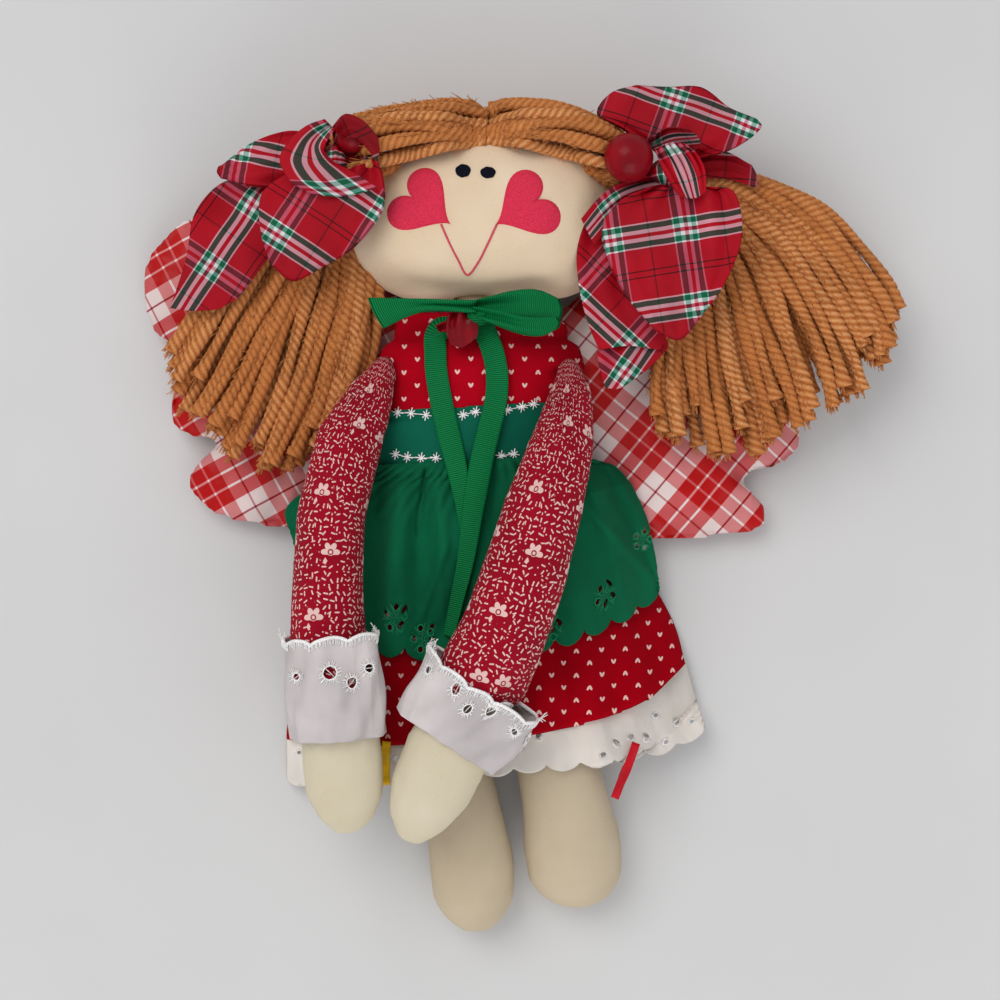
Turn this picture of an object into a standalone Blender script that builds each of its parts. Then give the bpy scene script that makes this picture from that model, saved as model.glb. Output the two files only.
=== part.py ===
"""A stuffed country angel doll, lying on its back.

Lengths are in metres. +Y points to the head, -Y to the feet, +Z up to the doll's front, and left and
right are the viewer's. Every piece is modelled about the middle of the shoulder line. At the end the
whole doll is moved so that the middle of its box lies over the origin and its back lies on z = 0.

Each soft piece is a closed pillow or limb. A piece that lies on another is shaped round it, with a gap
of CLEARANCE left between the two cloths, and cloth that drapes is laid over what is under it.
"""

import math

import bmesh
import bpy
from mathutils import Matrix, Vector
from mathutils.bvhtree import BVHTree

# Gaps and cloth
CLEARANCE = 0.0003        # left between two pieces that touch
DRAPE_GAP = 0.0009        # left under cloth that drapes over folds
FLAT_DEPTH = 0.0005       # a piece that lies on the table is flattened this deep
CLOTH = 0.0011            # wall of a garment
GARMENT_EASE = 0.0009     # between the torso and a garment round it
SEAT_GAP = 0.0005         # between a round end and the seat that it turns in
RIBBON = 0.0009           # wall of a ribbon
FELT = 0.0014             # wall of the felt hearts
SKY = 0.3                 # height from which cloth is let down
OVERRUN = 0.004           # how far a cutter reaches past what it cuts

SHARPEST_PUSH = 1.6       # a cutter's corner goes out this many times its faces' clearance
ROUND_END_DEG = (75.0, 60.0, 45.0, 30.0, 15.0)   # the rings of a limb's round end
SWING_STEPS = (0.0, 0.33, 0.67, 1.0)             # the turns at which a swing is cleared

# Head
HEAD_WIDTH = 0.115
HEAD_HEIGHT = 0.073
HEAD_PLACE = (0.0025, 0.0685)
HEAD_HALF_DEPTH = 0.0295
HEAD_OUTLINE_SHARES = (
    (-0.50, -0.17), (-0.47, 0.01), (-0.40, 0.24), (-0.30, 0.39), (-0.13, 0.49), (0.08, 0.50),
    (0.31, 0.47), (0.45, 0.34), (0.50, 0.06), (0.47, -0.20), (0.39, -0.39), (0.27, -0.47),
    (0.02, -0.50), (-0.24, -0.49), (-0.42, -0.36),
)
NECK_PIVOT = (0.0, 0.030)
NECK_RADIUS = 0.010
NECK_HALF_DEPTH = 0.009
NECK_LENGTH = 0.014       # from the torso to the pivot
HEAD_SWEEP_DEG = (-4.0, -2.0, 0.0, 2.0, 4.0)

CHEEK_WIDTH = 0.0275
CHEEK_HEIGHT = 0.0235
CHEEK_LEFT_PLACE = (-0.0232, 0.0715)
CHEEK_RIGHT_PLACE = (0.0208, 0.0705)
CHEEK_LEFT_TURN_DEG = 54.0
CHEEK_RIGHT_TURN_DEG = -59.0

# Hair
CROWN_HALF_DEPTH = 0.0335
CROWN_LEFT_SIZE = (0.0684, 0.0434)
CROWN_LEFT_PLACE = (-0.0318, 0.0943)
CROWN_LEFT_SHARES = (
    (0.50, 0.48), (0.23, 0.50), (-0.07, 0.45), (-0.32, 0.32), (-0.46, 0.08), (-0.50, -0.26),
    (-0.38, -0.50), (-0.16, -0.31), (0.11, -0.12), (0.50, -0.05),
)
CROWN_RIGHT_SIZE = (0.0660, 0.0396)
CROWN_RIGHT_PLACE = (0.0364, 0.0966)
CROWN_RIGHT_SHARES = (
    (-0.50, -0.11), (-0.11, -0.13), (0.13, -0.29), (0.31, -0.50), (0.46, -0.50), (0.50, -0.18),
    (0.39, 0.10), (0.21, 0.31), (-0.01, 0.45), (-0.27, 0.50), (-0.50, 0.47),
)
PIGTAIL_HALF_DEPTH = 0.0090
PIGTAIL_LOW = 0.0221      # just over the wings that they lie on
TIE_SEAT_RADIUS = 0.0160
PIGTAIL_LEFT_SIZE = (0.0825, 0.1160)
PIGTAIL_LEFT_PLACE = (-0.0902, 0.0215)
PIGTAIL_LEFT_TIE = (-0.0570, 0.0800)
PIGTAIL_LEFT_SWING_DEG = 30.0
PIGTAIL_LEFT_SHARES = (
    (0.36, 0.50), (0.12, 0.37), (-0.15, 0.23), (-0.33, 0.10), (-0.50, -0.11), (-0.47, -0.28),
    (-0.25, -0.44), (-0.04, -0.50), (0.17, -0.49), (0.37, -0.35), (0.47, -0.19), (0.50, -0.01),
    (0.50, 0.21), (0.46, 0.41),
)
PIGTAIL_RIGHT_SIZE = (0.1070, 0.1217)
PIGTAIL_RIGHT_PLACE = (0.1257, 0.0314)
PIGTAIL_RIGHT_TIE = (0.0790, 0.0850)
PIGTAIL_RIGHT_SWING_DEG = 25.0
PIGTAIL_RIGHT_SHARES = (
    (-0.41, 0.50), (-0.23, 0.46), (-0.03, 0.39), (0.26, 0.26), (0.43, 0.10), (0.50, -0.07),
    (0.44, -0.23), (0.28, -0.38), (0.09, -0.48), (-0.15, -0.50), (-0.34, -0.49), (-0.46, -0.46),
    (-0.49, -0.33), (-0.50, -0.12), (-0.48, 0.09), (-0.47, 0.36),
)

# Hair bows
BOW_LOOP_HALF_DEPTH = 0.0065
BOW_TAIL_HALF_DEPTH = 0.0020
BOW_LEFT_UPPER_LOOP_SIZE = (0.0459, 0.0225)
BOW_LEFT_UPPER_LOOP_PLACE = (-0.0825, 0.0878, 0.0500)
BOW_LEFT_FRONT_LOOP_SIZE = (0.0488, 0.0512)
BOW_LEFT_FRONT_LOOP_PLACE = (-0.0631, 0.0654, 0.0590)
BOW_LEFT_TAIL_SIZE = (0.0620, 0.0580)
BOW_LEFT_TAIL_PLACE = (-0.0954, 0.0560, 0.0440)
BOW_RIGHT_UPPER_LOOP_SIZE = (0.0652, 0.0314)
BOW_RIGHT_UPPER_LOOP_PLACE = (0.0834, 0.1018, 0.0520)
BOW_RIGHT_UPPER_LOOP_HALF_DEPTH = 0.0075
BOW_RIGHT_FRONT_LOOP_SIZE = (0.0599, 0.0554)
BOW_RIGHT_FRONT_LOOP_PLACE = (0.0767, 0.0474, 0.0580)
BOW_RIGHT_LOWER_TAIL_SIZE = (0.0399, 0.0791)
BOW_RIGHT_LOWER_TAIL_PLACE = (0.0613, 0.0357, 0.0480)
BOW_RIGHT_LOWER_TAIL_HALF_DEPTH = 0.0022
BOW_RIGHT_BACK_TAIL_SIZE = (0.0350, 0.0132)
BOW_RIGHT_BACK_TAIL_PLACE = (0.0984, 0.0838, 0.0452)
BOW_LEFT_KNOT_SIZE = (0.0150, 0.0170)
BOW_LEFT_KNOT_PLACE = (-0.0570, 0.0870, 0.0530)
BOW_LEFT_KNOT_HALF_DEPTH = 0.0135
BOW_RIGHT_KNOT_SIZE = (0.0170, 0.0160)
BOW_RIGHT_KNOT_PLACE = (0.0770, 0.0830, 0.0500)
BOW_RIGHT_KNOT_HALF_DEPTH = 0.0180
BEAD_LEFT_RADIUS = 0.0068
BEAD_LEFT_PLACE = (-0.0510, 0.0965, 0.0600)
BEAD_RIGHT_RADIUS = 0.0103
BEAD_RIGHT_PLACE = (0.0612, 0.0877, 0.0640)
BEAD_BORE = 0.0016
BOW_LOOPS = {
    "bow_left_upper_loop": (BOW_LEFT_UPPER_LOOP_SIZE, BOW_LEFT_UPPER_LOOP_PLACE, BOW_LOOP_HALF_DEPTH),
    "bow_left_front_loop": (BOW_LEFT_FRONT_LOOP_SIZE, BOW_LEFT_FRONT_LOOP_PLACE, BOW_LOOP_HALF_DEPTH),
    "bow_left_tail": (BOW_LEFT_TAIL_SIZE, BOW_LEFT_TAIL_PLACE, BOW_TAIL_HALF_DEPTH),
    "bow_right_upper_loop": (BOW_RIGHT_UPPER_LOOP_SIZE, BOW_RIGHT_UPPER_LOOP_PLACE,
                             BOW_RIGHT_UPPER_LOOP_HALF_DEPTH),
    "bow_right_front_loop": (BOW_RIGHT_FRONT_LOOP_SIZE, BOW_RIGHT_FRONT_LOOP_PLACE, BOW_LOOP_HALF_DEPTH),
    "bow_right_lower_tail": (BOW_RIGHT_LOWER_TAIL_SIZE, BOW_RIGHT_LOWER_TAIL_PLACE,
                             BOW_RIGHT_LOWER_TAIL_HALF_DEPTH),
    "bow_right_back_tail": (BOW_RIGHT_BACK_TAIL_SIZE, BOW_RIGHT_BACK_TAIL_PLACE, BOW_TAIL_HALF_DEPTH),
}
BOW_KNOTS = {
    "left": (BOW_LEFT_KNOT_SIZE, BOW_LEFT_KNOT_PLACE, BOW_LEFT_KNOT_HALF_DEPTH),
    "right": (BOW_RIGHT_KNOT_SIZE, BOW_RIGHT_KNOT_PLACE, BOW_RIGHT_KNOT_HALF_DEPTH),
}
BEADS = {"left": (BEAD_LEFT_RADIUS, BEAD_LEFT_PLACE), "right": (BEAD_RIGHT_RADIUS, BEAD_RIGHT_PLACE)}
BOW_LOOP_SHARES = {
    "bow_left_upper_loop": (
        (0.50, 0.41), (0.21, 0.50), (-0.19, 0.32), (-0.48, -0.05), (-0.50, -0.35), (-0.28, -0.50),
        (0.08, -0.41), (0.44, -0.05)),
    "bow_left_front_loop": (
        (0.15, 0.45), (-0.18, 0.50), (-0.50, 0.28), (-0.48, -0.04), (-0.37, -0.37), (-0.22, -0.50),
        (-0.03, -0.44), (0.23, -0.20), (0.50, 0.08), (0.47, 0.34)),
    "bow_left_tail": (
        (0.46, 0.50), (0.15, 0.42), (-0.07, 0.29), (-0.26, 0.06), (-0.40, -0.18), (-0.50, -0.47),
        (-0.16, -0.50), (-0.04, -0.28), (0.10, 0.02), (0.24, 0.22), (0.50, 0.34)),
    "bow_right_upper_loop": (
        (-0.13, -0.44), (-0.26, -0.18), (-0.50, 0.21), (-0.36, 0.47), (0.11, 0.50), (0.29, 0.32),
        (0.50, -0.02), (0.33, -0.31), (0.08, -0.50)),
    "bow_right_front_loop": (
        (-0.45, 0.42), (0.02, 0.50), (0.47, 0.49), (0.50, 0.07), (0.38, -0.26), (0.11, -0.50),
        (-0.12, -0.49), (-0.32, -0.11), (-0.50, 0.21)),
    "bow_right_lower_tail": (
        (0.07, 0.50), (-0.40, 0.36), (-0.50, 0.17), (-0.42, -0.15), (-0.24, -0.39), (-0.06, -0.50),
        (0.29, -0.42), (0.50, -0.26), (0.43, 0.11), (0.38, 0.45)),
    "bow_right_back_tail": (
        (-0.50, 0.44), (0.22, 0.50), (0.50, 0.25), (0.47, -0.44), (0.15, -0.50), (-0.50, -0.31)),
}

# Torso, with its rings from the neck down as shares of its length, half width and half depth
TORSO_MIDDLE = 0.0290
TORSO_TOP = 0.0195
TORSO_LENGTH = 0.1045
TORSO_HALF_WIDTH = 0.0430
TORSO_HALF_DEPTH = 0.0180
TORSO_RING_SHARES = (
    (0.00, 0.44, 0.47), (0.06, 0.70, 0.69), (0.15, 0.93, 0.89), (0.32, 0.99, 1.00),
    (0.51, 0.94, 0.92), (0.72, 1.00, 0.86), (0.89, 1.00, 0.78), (1.00, 0.84, 0.53),
)
BODICE_TOP = 0.0185
BODICE_END = -0.0135
BAND_TOP = -0.0145
BAND_END = -0.0370
BAND_TURN_DEG = 3.0

# Neck bow
NECK_RIBBON_WIDTH = 0.0075
NECK_KNOT_SIZE = (0.0110, 0.0105)
NECK_KNOT_HALF_DEPTH = 0.0085
NECK_KNOT_PLACE = (0.0005, 0.0255)
NECK_RIBBON_DROP = 0.0020   # from the pivot down to the ribbon's upper edge
NECK_LOOP_RISE = 0.0055     # of the loops' middle over the knot's
NECK_LOOP_HALF_DEPTH = 0.0028
NECK_LOOP_LEFT_SIZE = (0.0380, 0.0118)
NECK_LOOP_LEFT_PLACE = (-0.0245, 0.0266)
NECK_LOOP_LEFT_SHARES = (
    (0.50, 0.12), (0.27, 0.33), (-0.11, 0.50), (-0.50, 0.47), (-0.43, -0.09), (-0.34, -0.50),
    (-0.09, -0.16), (0.27, -0.19), (0.50, -0.22),
)
NECK_LOOP_RIGHT_SIZE = (0.0300, 0.0160)
NECK_LOOP_RIGHT_PLACE = (0.0209, 0.0254)
NECK_LOOP_RIGHT_SHARES = (
    (-0.50, 0.09), (-0.25, 0.34), (0.02, 0.50), (0.43, 0.32), (0.50, -0.14), (0.36, -0.50),
    (0.00, -0.45), (-0.27, -0.23), (-0.48, -0.14),
)
NECK_TAIL_WIDTH = 0.0095
NECK_TAIL_LEFT_START = (-0.0052, 0.0185)
NECK_TAIL_LEFT_SIZE = (0.0133, 0.0885)
NECK_TAIL_LEFT_SHARES = (
    (0.00, 0.00), (-0.47, -0.09), (-0.81, -0.19), (-0.85, -0.34), (-0.74, -0.52), (-0.81, -0.71),
    (-0.92, -0.89), (-1.00, -1.00),
)
NECK_TAIL_RIGHT_START = (0.0052, 0.0185)
NECK_TAIL_RIGHT_SIZE = (0.0156, 0.1235)
NECK_TAIL_RIGHT_SHARES = (
    (0.00, 0.00), (0.21, -0.05), (0.34, -0.13), (0.34, -0.24), (0.05, -0.36), (-0.24, -0.49),
    (-0.46, -0.63), (-0.65, -0.76), (-0.85, -0.89), (-1.00, -1.00),
)
CHARM_SIZE = (0.0180, 0.0080)
CHARM_PLACE = (-0.0070, 0.0160)
CHARM_HALF_DEPTH = 0.0026

# Limbs: how far each runs across, along and up, its half width and half depth, and its rings as shares
SHOULDER_LEFT = (-0.0400, 0.0030, 0.0435)
SHOULDER_RIGHT = (0.0360, 0.0020, 0.0450)
SHOULDER_RADIUS = 0.0064
SLEEVE_LEFT_RUN = (-0.0200, -0.1290, 0.0200)
SLEEVE_LEFT_HALF = (0.0160, 0.0155)
SLEEVE_LEFT_SHARES = (
    (0.18, 0.07, 0.17, 0.66, 0.50), (0.61, 0.22, 0.50, 0.92, 0.80), (0.95, 0.46, 0.78, 0.91, 0.94),
    (1.00, 0.72, 0.93, 0.93, 0.97), (0.95, 0.94, 1.00, 1.00, 1.00), (0.92, 1.00, 1.00, 0.88, 0.87),
)
SLEEVE_RIGHT_RUN = (-0.0310, -0.1220, 0.0250)
SLEEVE_RIGHT_HALF = (0.0180, 0.0160)
SLEEVE_RIGHT_SHARES = (
    (-0.03, 0.07, 0.20, 0.58, 0.50), (0.08, 0.23, 0.60, 0.78, 0.75), (0.31, 0.43, 0.92, 0.92, 0.88),
    (0.55, 0.66, 1.00, 0.99, 0.97), (0.85, 0.89, 0.96, 1.00, 1.00), (1.00, 1.00, 0.92, 0.92, 0.91),
)
HAND_LEFT_RUN = (0.0052, -0.0610, -0.0145)
HAND_LEFT_HALF = (0.0162, 0.0130)
HAND_LEFT_SHARES = (
    (0.19, -0.03, 0.07, 0.74, 0.85), (0.48, 0.23, 0.17, 0.93, 0.96), (0.67, 0.49, 0.45, 1.00, 1.00),
    (0.77, 0.72, 0.72, 0.98, 0.96), (0.90, 0.90, 0.93, 0.68, 0.69), (1.00, 1.00, 1.00, 0.28, 0.31),
)
HAND_RIGHT_RUN = (-0.0318, -0.0690, -0.0120)
HAND_RIGHT_HALF = (0.0175, 0.0130)
HAND_RIGHT_SHARES = (
    (0.02, -0.02, 0.00, 0.74, 0.85), (0.25, 0.23, 0.25, 0.91, 0.96), (0.53, 0.46, 0.50, 1.00, 1.00),
    (0.75, 0.70, 0.75, 0.97, 0.96), (0.91, 0.87, 0.92, 0.71, 0.77), (1.00, 1.00, 1.00, 0.26, 0.31),
)
CUFF_LEFT_RUN = (0.0025, -0.0200, -0.0025)
CUFF_LEFT_HALF = (0.0205, 0.0185)
CUFF_LEFT_SHARES = (
    (0.00, -1.10, -0.20, 1.00, 1.00), (0.20, -0.30, -0.20, 1.00, 1.00), (0.60, 0.50, 0.20, 1.00, 0.95),
    (1.00, 1.00, 1.00, 0.98, 0.86),
)
CUFF_RIGHT_RUN = (-0.0175, -0.0280, -0.0050)
CUFF_RIGHT_HALF = (0.0285, 0.0190)
CUFF_RIGHT_SHARES = (
    (0.03, 0.13, -0.20, 1.00, 1.00), (0.34, 0.41, 0.10, 0.96, 0.95), (0.71, 0.73, 0.60, 0.92, 0.89),
    (1.00, 1.00, 1.00, 0.86, 0.82),
)
HIP_LEFT = (-0.0215, -0.0900, 0.0200)
HIP_RIGHT = (0.0225, -0.0900, 0.0200)
HIP_RADIUS = 0.0170
LEG_LEFT_RUN = (0.0190, -0.1440, -0.0040)
LEG_LEFT_HALF = (0.0188, 0.0172)
LEG_LEFT_SHARES = (
    (0.03, 0.10, 0.00, 0.91, 0.90), (0.21, 0.28, 0.00, 0.90, 0.93), (0.50, 0.49, 0.00, 0.89, 0.94),
    (0.79, 0.66, 0.25, 0.91, 0.96), (0.95, 0.80, 0.62, 1.00, 1.00), (0.98, 0.90, 0.87, 0.96, 0.96),
    (1.00, 0.96, 1.00, 0.69, 0.70), (1.00, 1.00, 1.00, 0.32, 0.32),
)
LEG_RIGHT_RUN = (0.0185, -0.1340, -0.0040)
LEG_RIGHT_HALF = (0.0212, 0.0175)
LEG_RIGHT_SHARES = (
    (0.05, 0.11, 0.00, 0.81, 0.89), (0.24, 0.30, 0.00, 0.81, 0.91), (0.51, 0.49, 0.00, 0.83, 0.94),
    (0.76, 0.66, 0.25, 0.89, 0.97), (0.92, 0.79, 0.55, 1.00, 1.00), (0.97, 0.90, 0.80, 0.97, 0.96),
    (1.00, 0.96, 0.95, 0.71, 0.71), (1.00, 1.00, 1.00, 0.33, 0.31),
)
LEG_SPREAD_DEG = 12.0

# Wings
WING_HALF_DEPTH = 0.0110
WING_LEFT_SIZE = (0.1435, 0.1380)
WING_LEFT_PLACE = (-0.0717, 0.0070)
WING_LEFT_SHARES = (
    (0.50, 0.05), (0.38, 0.11), (0.17, 0.38), (-0.07, 0.50), (-0.31, 0.49), (-0.47, 0.36),
    (-0.50, 0.21), (-0.44, 0.07), (-0.31, 0.01), (-0.40, -0.05), (-0.43, -0.14), (-0.38, -0.22),
    (-0.26, -0.23), (-0.35, -0.30), (-0.35, -0.40), (-0.22, -0.48), (0.00, -0.50), (0.24, -0.49),
    (0.44, -0.41), (0.50, -0.20),
)
WING_RIGHT_SIZE = (0.1460, 0.1380)
WING_RIGHT_PLACE = (0.0734, 0.0020)
WING_RIGHT_SHARES = (
    (-0.50, 0.06), (-0.50, -0.18), (-0.44, -0.40), (-0.25, -0.48), (-0.01, -0.50), (0.19, -0.49),
    (0.32, -0.47), (0.34, -0.38), (0.25, -0.32), (0.40, -0.27), (0.45, -0.18), (0.42, -0.07),
    (0.33, 0.02), (0.47, 0.09), (0.50, 0.25), (0.45, 0.42), (0.29, 0.50), (0.06, 0.44),
    (-0.18, 0.30), (-0.38, 0.11),
)

# Skirts: each front is laid over what is under it, between four edges given as shares of its size
APRON_SIZE = (0.1560, 0.0818)
APRON_PLACE = (0.0000, -0.0761)
APRON_EDGE_SHARES = (
    ((-0.28, 0.435), (-0.14, 0.447), (0.00, 0.46), (0.14, 0.468), (0.288, 0.476)),
    ((-0.50, -0.304), (-0.31, -0.45), (-0.06, -0.50), (0.205, -0.44), (0.385, -0.317), (0.50, -0.194)),
    ((-0.28, 0.435), (-0.385, 0.417), (-0.45, 0.246), (-0.487, -0.023), (-0.50, -0.304)),
    ((0.288, 0.476), (0.362, 0.50), (0.43, 0.344), (0.474, 0.10), (0.50, -0.194)),
)
DRESS_SIZE = (0.1705, 0.1150)
DRESS_PLACE = (0.0032, -0.0955)
DRESS_EDGE_SHARES = (
    ((-0.27, 0.465), (-0.11, 0.474), (0.07, 0.487), (0.228, 0.50)),
    ((-0.50, -0.50), (-0.253, -0.49), (-0.02, -0.474), (0.216, -0.422), (0.392, -0.343), (0.50, -0.222)),
    ((-0.27, 0.465), (-0.371, 0.343), (-0.44, 0.09), (-0.482, -0.213), (-0.50, -0.50)),
    ((0.228, 0.50), (0.31, 0.396), (0.392, 0.152), (0.474, -0.074), (0.50, -0.222)),
)
FLOUNCE_SIZE = (0.1780, 0.0760)
FLOUNCE_PLACE = (0.0060, -0.1360)
FLOUNCE_EDGE_SHARES = (
    ((-0.449, 0.395), (-0.20, 0.474), (0.135, 0.50), (0.382, 0.50)),
    ((-0.50, -0.50), (-0.287, -0.447), (-0.034, -0.395), (0.219, -0.342), (0.388, -0.224), (0.50, 0.00)),
    ((-0.449, 0.395), (-0.494, -0.053), (-0.50, -0.50)),
    ((0.382, 0.50), (0.461, 0.263), (0.50, 0.00)),
)
APRON_FOLDS = 9
DRESS_FOLDS = 7
FLOUNCE_FOLDS = 10
FOLD_HEIGHT = 0.0024
WAIST_FOLD_SHARE = 0.35   # of a fold's height, where the cloth is gathered
STRETCH_PASSES = 24       # times that cloth is drawn straight across its hollows
NEAR_STEPS = (0.33, 0.67) # where cloth feels for what is under it, between two of its points
BACK_DRESS_INSET = 0.0225    # that the back panel is narrower than the front
BACK_DRESS_LENGTH = 0.0780
BACK_DRESS_PLACE = (-0.0030, -0.1085)
BACK_FLOUNCE_INSET = 0.0220
BACK_FLOUNCE_LENGTH = 0.0620
BACK_FLOUNCE_PLACE = (0.0000, -0.1350)
BACK_HEM_WAVES = 6
BACK_HEM_DEPTH = 0.0025

# Ribbon ends that show below the skirt
RIBBON_END_WIDTH = 0.0036
RIBBON_END_YELLOW_START = (-0.0375, -0.1500)
RIBBON_END_YELLOW_SIZE = (0.0010, 0.0185)
RIBBON_END_YELLOW_SHARES = ((0.00, 0.00), (-0.70, -0.32), (-1.00, -0.65), (-0.50, -1.00))
RIBBON_END_RED_START = (0.0660, -0.1520)
RIBBON_END_RED_SIZE = (0.0090, 0.0225)
RIBBON_END_RED_SHARES = ((0.00, 0.00), (-0.33, -0.36), (-0.67, -0.67), (-1.00, -1.00))

# Fineness
LIMB_SIDES = 14
FINE_SHARES = (0.42, 0.74, 0.94)
PLAIN_SHARES = (0.55, 0.86)
PUFF_POWER = 2.2

COLOURS = {
    "muslin": ((0.80, 0.70, 0.55), 0.9), "felt": ((0.45, 0.03, 0.10), 0.95),
    "yarn": ((0.47, 0.22, 0.06), 0.9), "tartan": ((0.50, 0.02, 0.03), 0.45),
    "red_bead": ((0.50, 0.01, 0.01), 0.25), "heart_print": ((0.50, 0.02, 0.03), 0.85),
    "green_cloth": ((0.01, 0.25, 0.12), 0.85), "grosgrain": ((0.01, 0.27, 0.07), 0.55),
    "calico": ((0.36, 0.02, 0.03), 0.85), "lace": ((0.85, 0.83, 0.78), 0.9),
    "check_satin": ((0.55, 0.08, 0.10), 0.4), "satin": ((0.55, 0.01, 0.01), 0.35),
    "yellow_ribbon": ((0.75, 0.60, 0.05), 0.6),
}


def clear_scene():
    """Remove what the scene holds already."""
    for thing in list(bpy.data.objects):
        bpy.data.objects.remove(thing, do_unlink=True)


def make_material(name, finish):
    """A plain material of one piece's colour and roughness."""
    colour, roughness = COLOURS[finish]
    material = bpy.data.materials.new(name)
    material.use_nodes = True
    shader = material.node_tree.nodes["Principled BSDF"]
    shader.inputs["Base Color"].default_value = (*colour, 1.0)
    shader.inputs["Roughness"].default_value = roughness
    shader.inputs["Metallic"].default_value = 0.0
    material.diffuse_color = (*colour, 1.0)
    return material


def finish_piece(name, bm, finish):
    """Turn a bmesh into a named, smooth object with its own material."""
    bmesh.ops.recalc_face_normals(bm, faces=bm.faces)
    mesh = bpy.data.meshes.new(name)
    bm.to_mesh(mesh)
    bm.free()
    mesh.shade_smooth()
    piece = bpy.data.objects.new(name, mesh)
    bpy.context.scene.collection.objects.link(piece)
    mesh.materials.append(make_material(name, finish))
    return piece


def spline_point(points, share, closed=False):
    """A point on the smooth curve through some points, at a share of its run."""
    count = len(points)
    spans = count if closed else count - 1
    place = min(max(share, 0.0), 1.0) * spans
    index = min(int(place), spans - 1)
    t = place - index

    def pick(number):
        if closed:
            return Vector(points[number % count])
        return Vector(points[min(max(number, 0), count - 1)])

    a, b, c, d = pick(index - 1), pick(index), pick(index + 1), pick(index + 2)
    return 0.5 * ((2.0 * b) + (c - a) * t + (2.0 * a - 5.0 * b + 4.0 * c - d) * t ** 2
                  + (3.0 * b - a - 3.0 * c + d) * t ** 3)


def outline_points(size, place, shares, count, turn_deg=0.0):
    """The points of a smooth closed outline given in shares of a size, anticlockwise."""
    turn = Matrix.Rotation(math.radians(turn_deg), 2)
    corners = [turn @ Vector((x * size[0], y * size[1])) for x, y in shares]
    points = [spline_point(corners, k / count, closed=True) + Vector(place) for k in range(count)]
    area = sum(a.x * b.y - b.x * a.y for a, b in zip(points, points[1:] + points[:1]))
    return points if area > 0 else points[::-1]


def round_shares(count):
    """The outline of a unit disc."""
    return [(0.5 * math.cos(2 * math.pi * k / count), 0.5 * math.sin(2 * math.pi * k / count))
            for k in range(count)]


def heart_shares(count):
    """The outline of a heart, one unit across and high, with its tip at the bottom."""
    shares = []
    for k in range(count):
        a = 2 * math.pi * k / count
        x = math.sin(a) ** 3 / 2
        y = (13 * math.cos(a) - 5 * math.cos(2 * a) - 2 * math.cos(3 * a) - math.cos(4 * a)) / 29
        shares.append((x, y + 2.5 / 29))
    return shares


def pillow(name, finish, outline, place, middle, half_depth, ring_shares):
    """Two domed faces, sewn together along an outline about a place."""
    bm = bmesh.new()
    centre = Vector(place)
    seam = [bm.verts.new((p.x, p.y, middle)) for p in outline]
    for side in (1, -1):
        ring = seam
        for share in reversed(ring_shares):
            height = half_depth * (1 - share ** PUFF_POWER) ** (1 / PUFF_POWER)
            inner = []
            for p in outline:
                spot = centre + (p - centre) * share
                inner.append(bm.verts.new((spot.x, spot.y, middle + side * height)))
            for k in range(len(outline)):
                after = (k + 1) % len(outline)
                bm.faces.new((ring[k], ring[after], inner[after], inner[k]))
            ring = inner
        pole = bm.verts.new((centre.x, centre.y, middle + side * half_depth))
        for k in range(len(outline)):
            bm.faces.new((ring[k], ring[(k + 1) % len(outline)], pole))
    return finish_piece(name, bm, finish)


def add_ring(bm, centre, along, half_width, half_depth, sides):
    """A ring of points, wide across the direction that a limb runs in and deep along Z."""
    direction = Vector((along.x, along.y, 0.0)).normalized()
    across = Vector((-direction.y, direction.x, 0.0))
    ring = []
    for k in range(sides):
        a = 2 * math.pi * k / sides
        spot = centre + across * (half_width * math.cos(a)) + Vector((0, 0, half_depth * math.sin(a)))
        ring.append(bm.verts.new(spot))
    return ring


def limb_rings(start, run, half, shares):
    """The rings of a limb from the place where it starts, out of shares of its run and half sizes."""
    return [(start[0] + across * run[0], start[1] + along * run[1], start[2] + up * run[2],
             wide * half[0], deep * half[1]) for across, along, up, wide, deep in shares]


def round_end(place, half_width, half_depth):
    """The rings of a limb's round end, centred on the place that it turns about."""
    rings = []
    for angle in (*ROUND_END_DEG, 0.0):
        a = math.radians(angle)
        rings.append((place[0], place[1] + half_width * math.sin(a), place[2],
                      half_width * math.cos(a), half_depth * math.cos(a)))
    return rings


def limb(name, finish, rings, sides=LIMB_SIDES, capped=True):
    """A skin lofted through rings: x, y, middle height, half width, half depth."""
    bm = bmesh.new()
    loops = []
    for index, (x, y, z, half_width, half_depth) in enumerate(rings):
        before = rings[max(index - 1, 0)]
        after = rings[min(index + 1, len(rings) - 1)]
        along = Vector((after[0] - before[0], after[1] - before[1], 0.0))
        loops.append(add_ring(bm, Vector((x, y, z)), along, half_width, half_depth, sides))
    for first, second in zip(loops, loops[1:]):
        for k in range(sides):
            after = (k + 1) % sides
            bm.faces.new((first[k], first[after], second[after], second[k]))
    if capped:
        bm.faces.new(loops[0])
        bm.faces.new(loops[-1])
    return finish_piece(name, bm, finish)


def add_wall(piece, thickness):
    """Give an open skin its thickness, all on its outer side."""
    wall = piece.modifiers.new("Wall", "SOLIDIFY")
    wall.thickness = thickness
    wall.offset = 1.0
    return piece


def flatten_underside(piece, height=0.0):
    """Cut off what reaches below a height, leaving a flat face."""
    bm = bmesh.new()
    bm.from_mesh(piece.data)
    everything = bm.verts[:] + bm.edges[:] + bm.faces[:]
    cut = bmesh.ops.bisect_plane(bm, geom=everything, plane_co=(0, 0, height), plane_no=(0, 0, -1),
                                 clear_outer=True)
    edges = [part for part in cut["geom_cut"] if isinstance(part, bmesh.types.BMEdge)]
    bmesh.ops.edgenet_fill(bm, edges=edges)
    bmesh.ops.recalc_face_normals(bm, faces=bm.faces)
    bm.to_mesh(piece.data)
    bm.free()
    return piece


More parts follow.
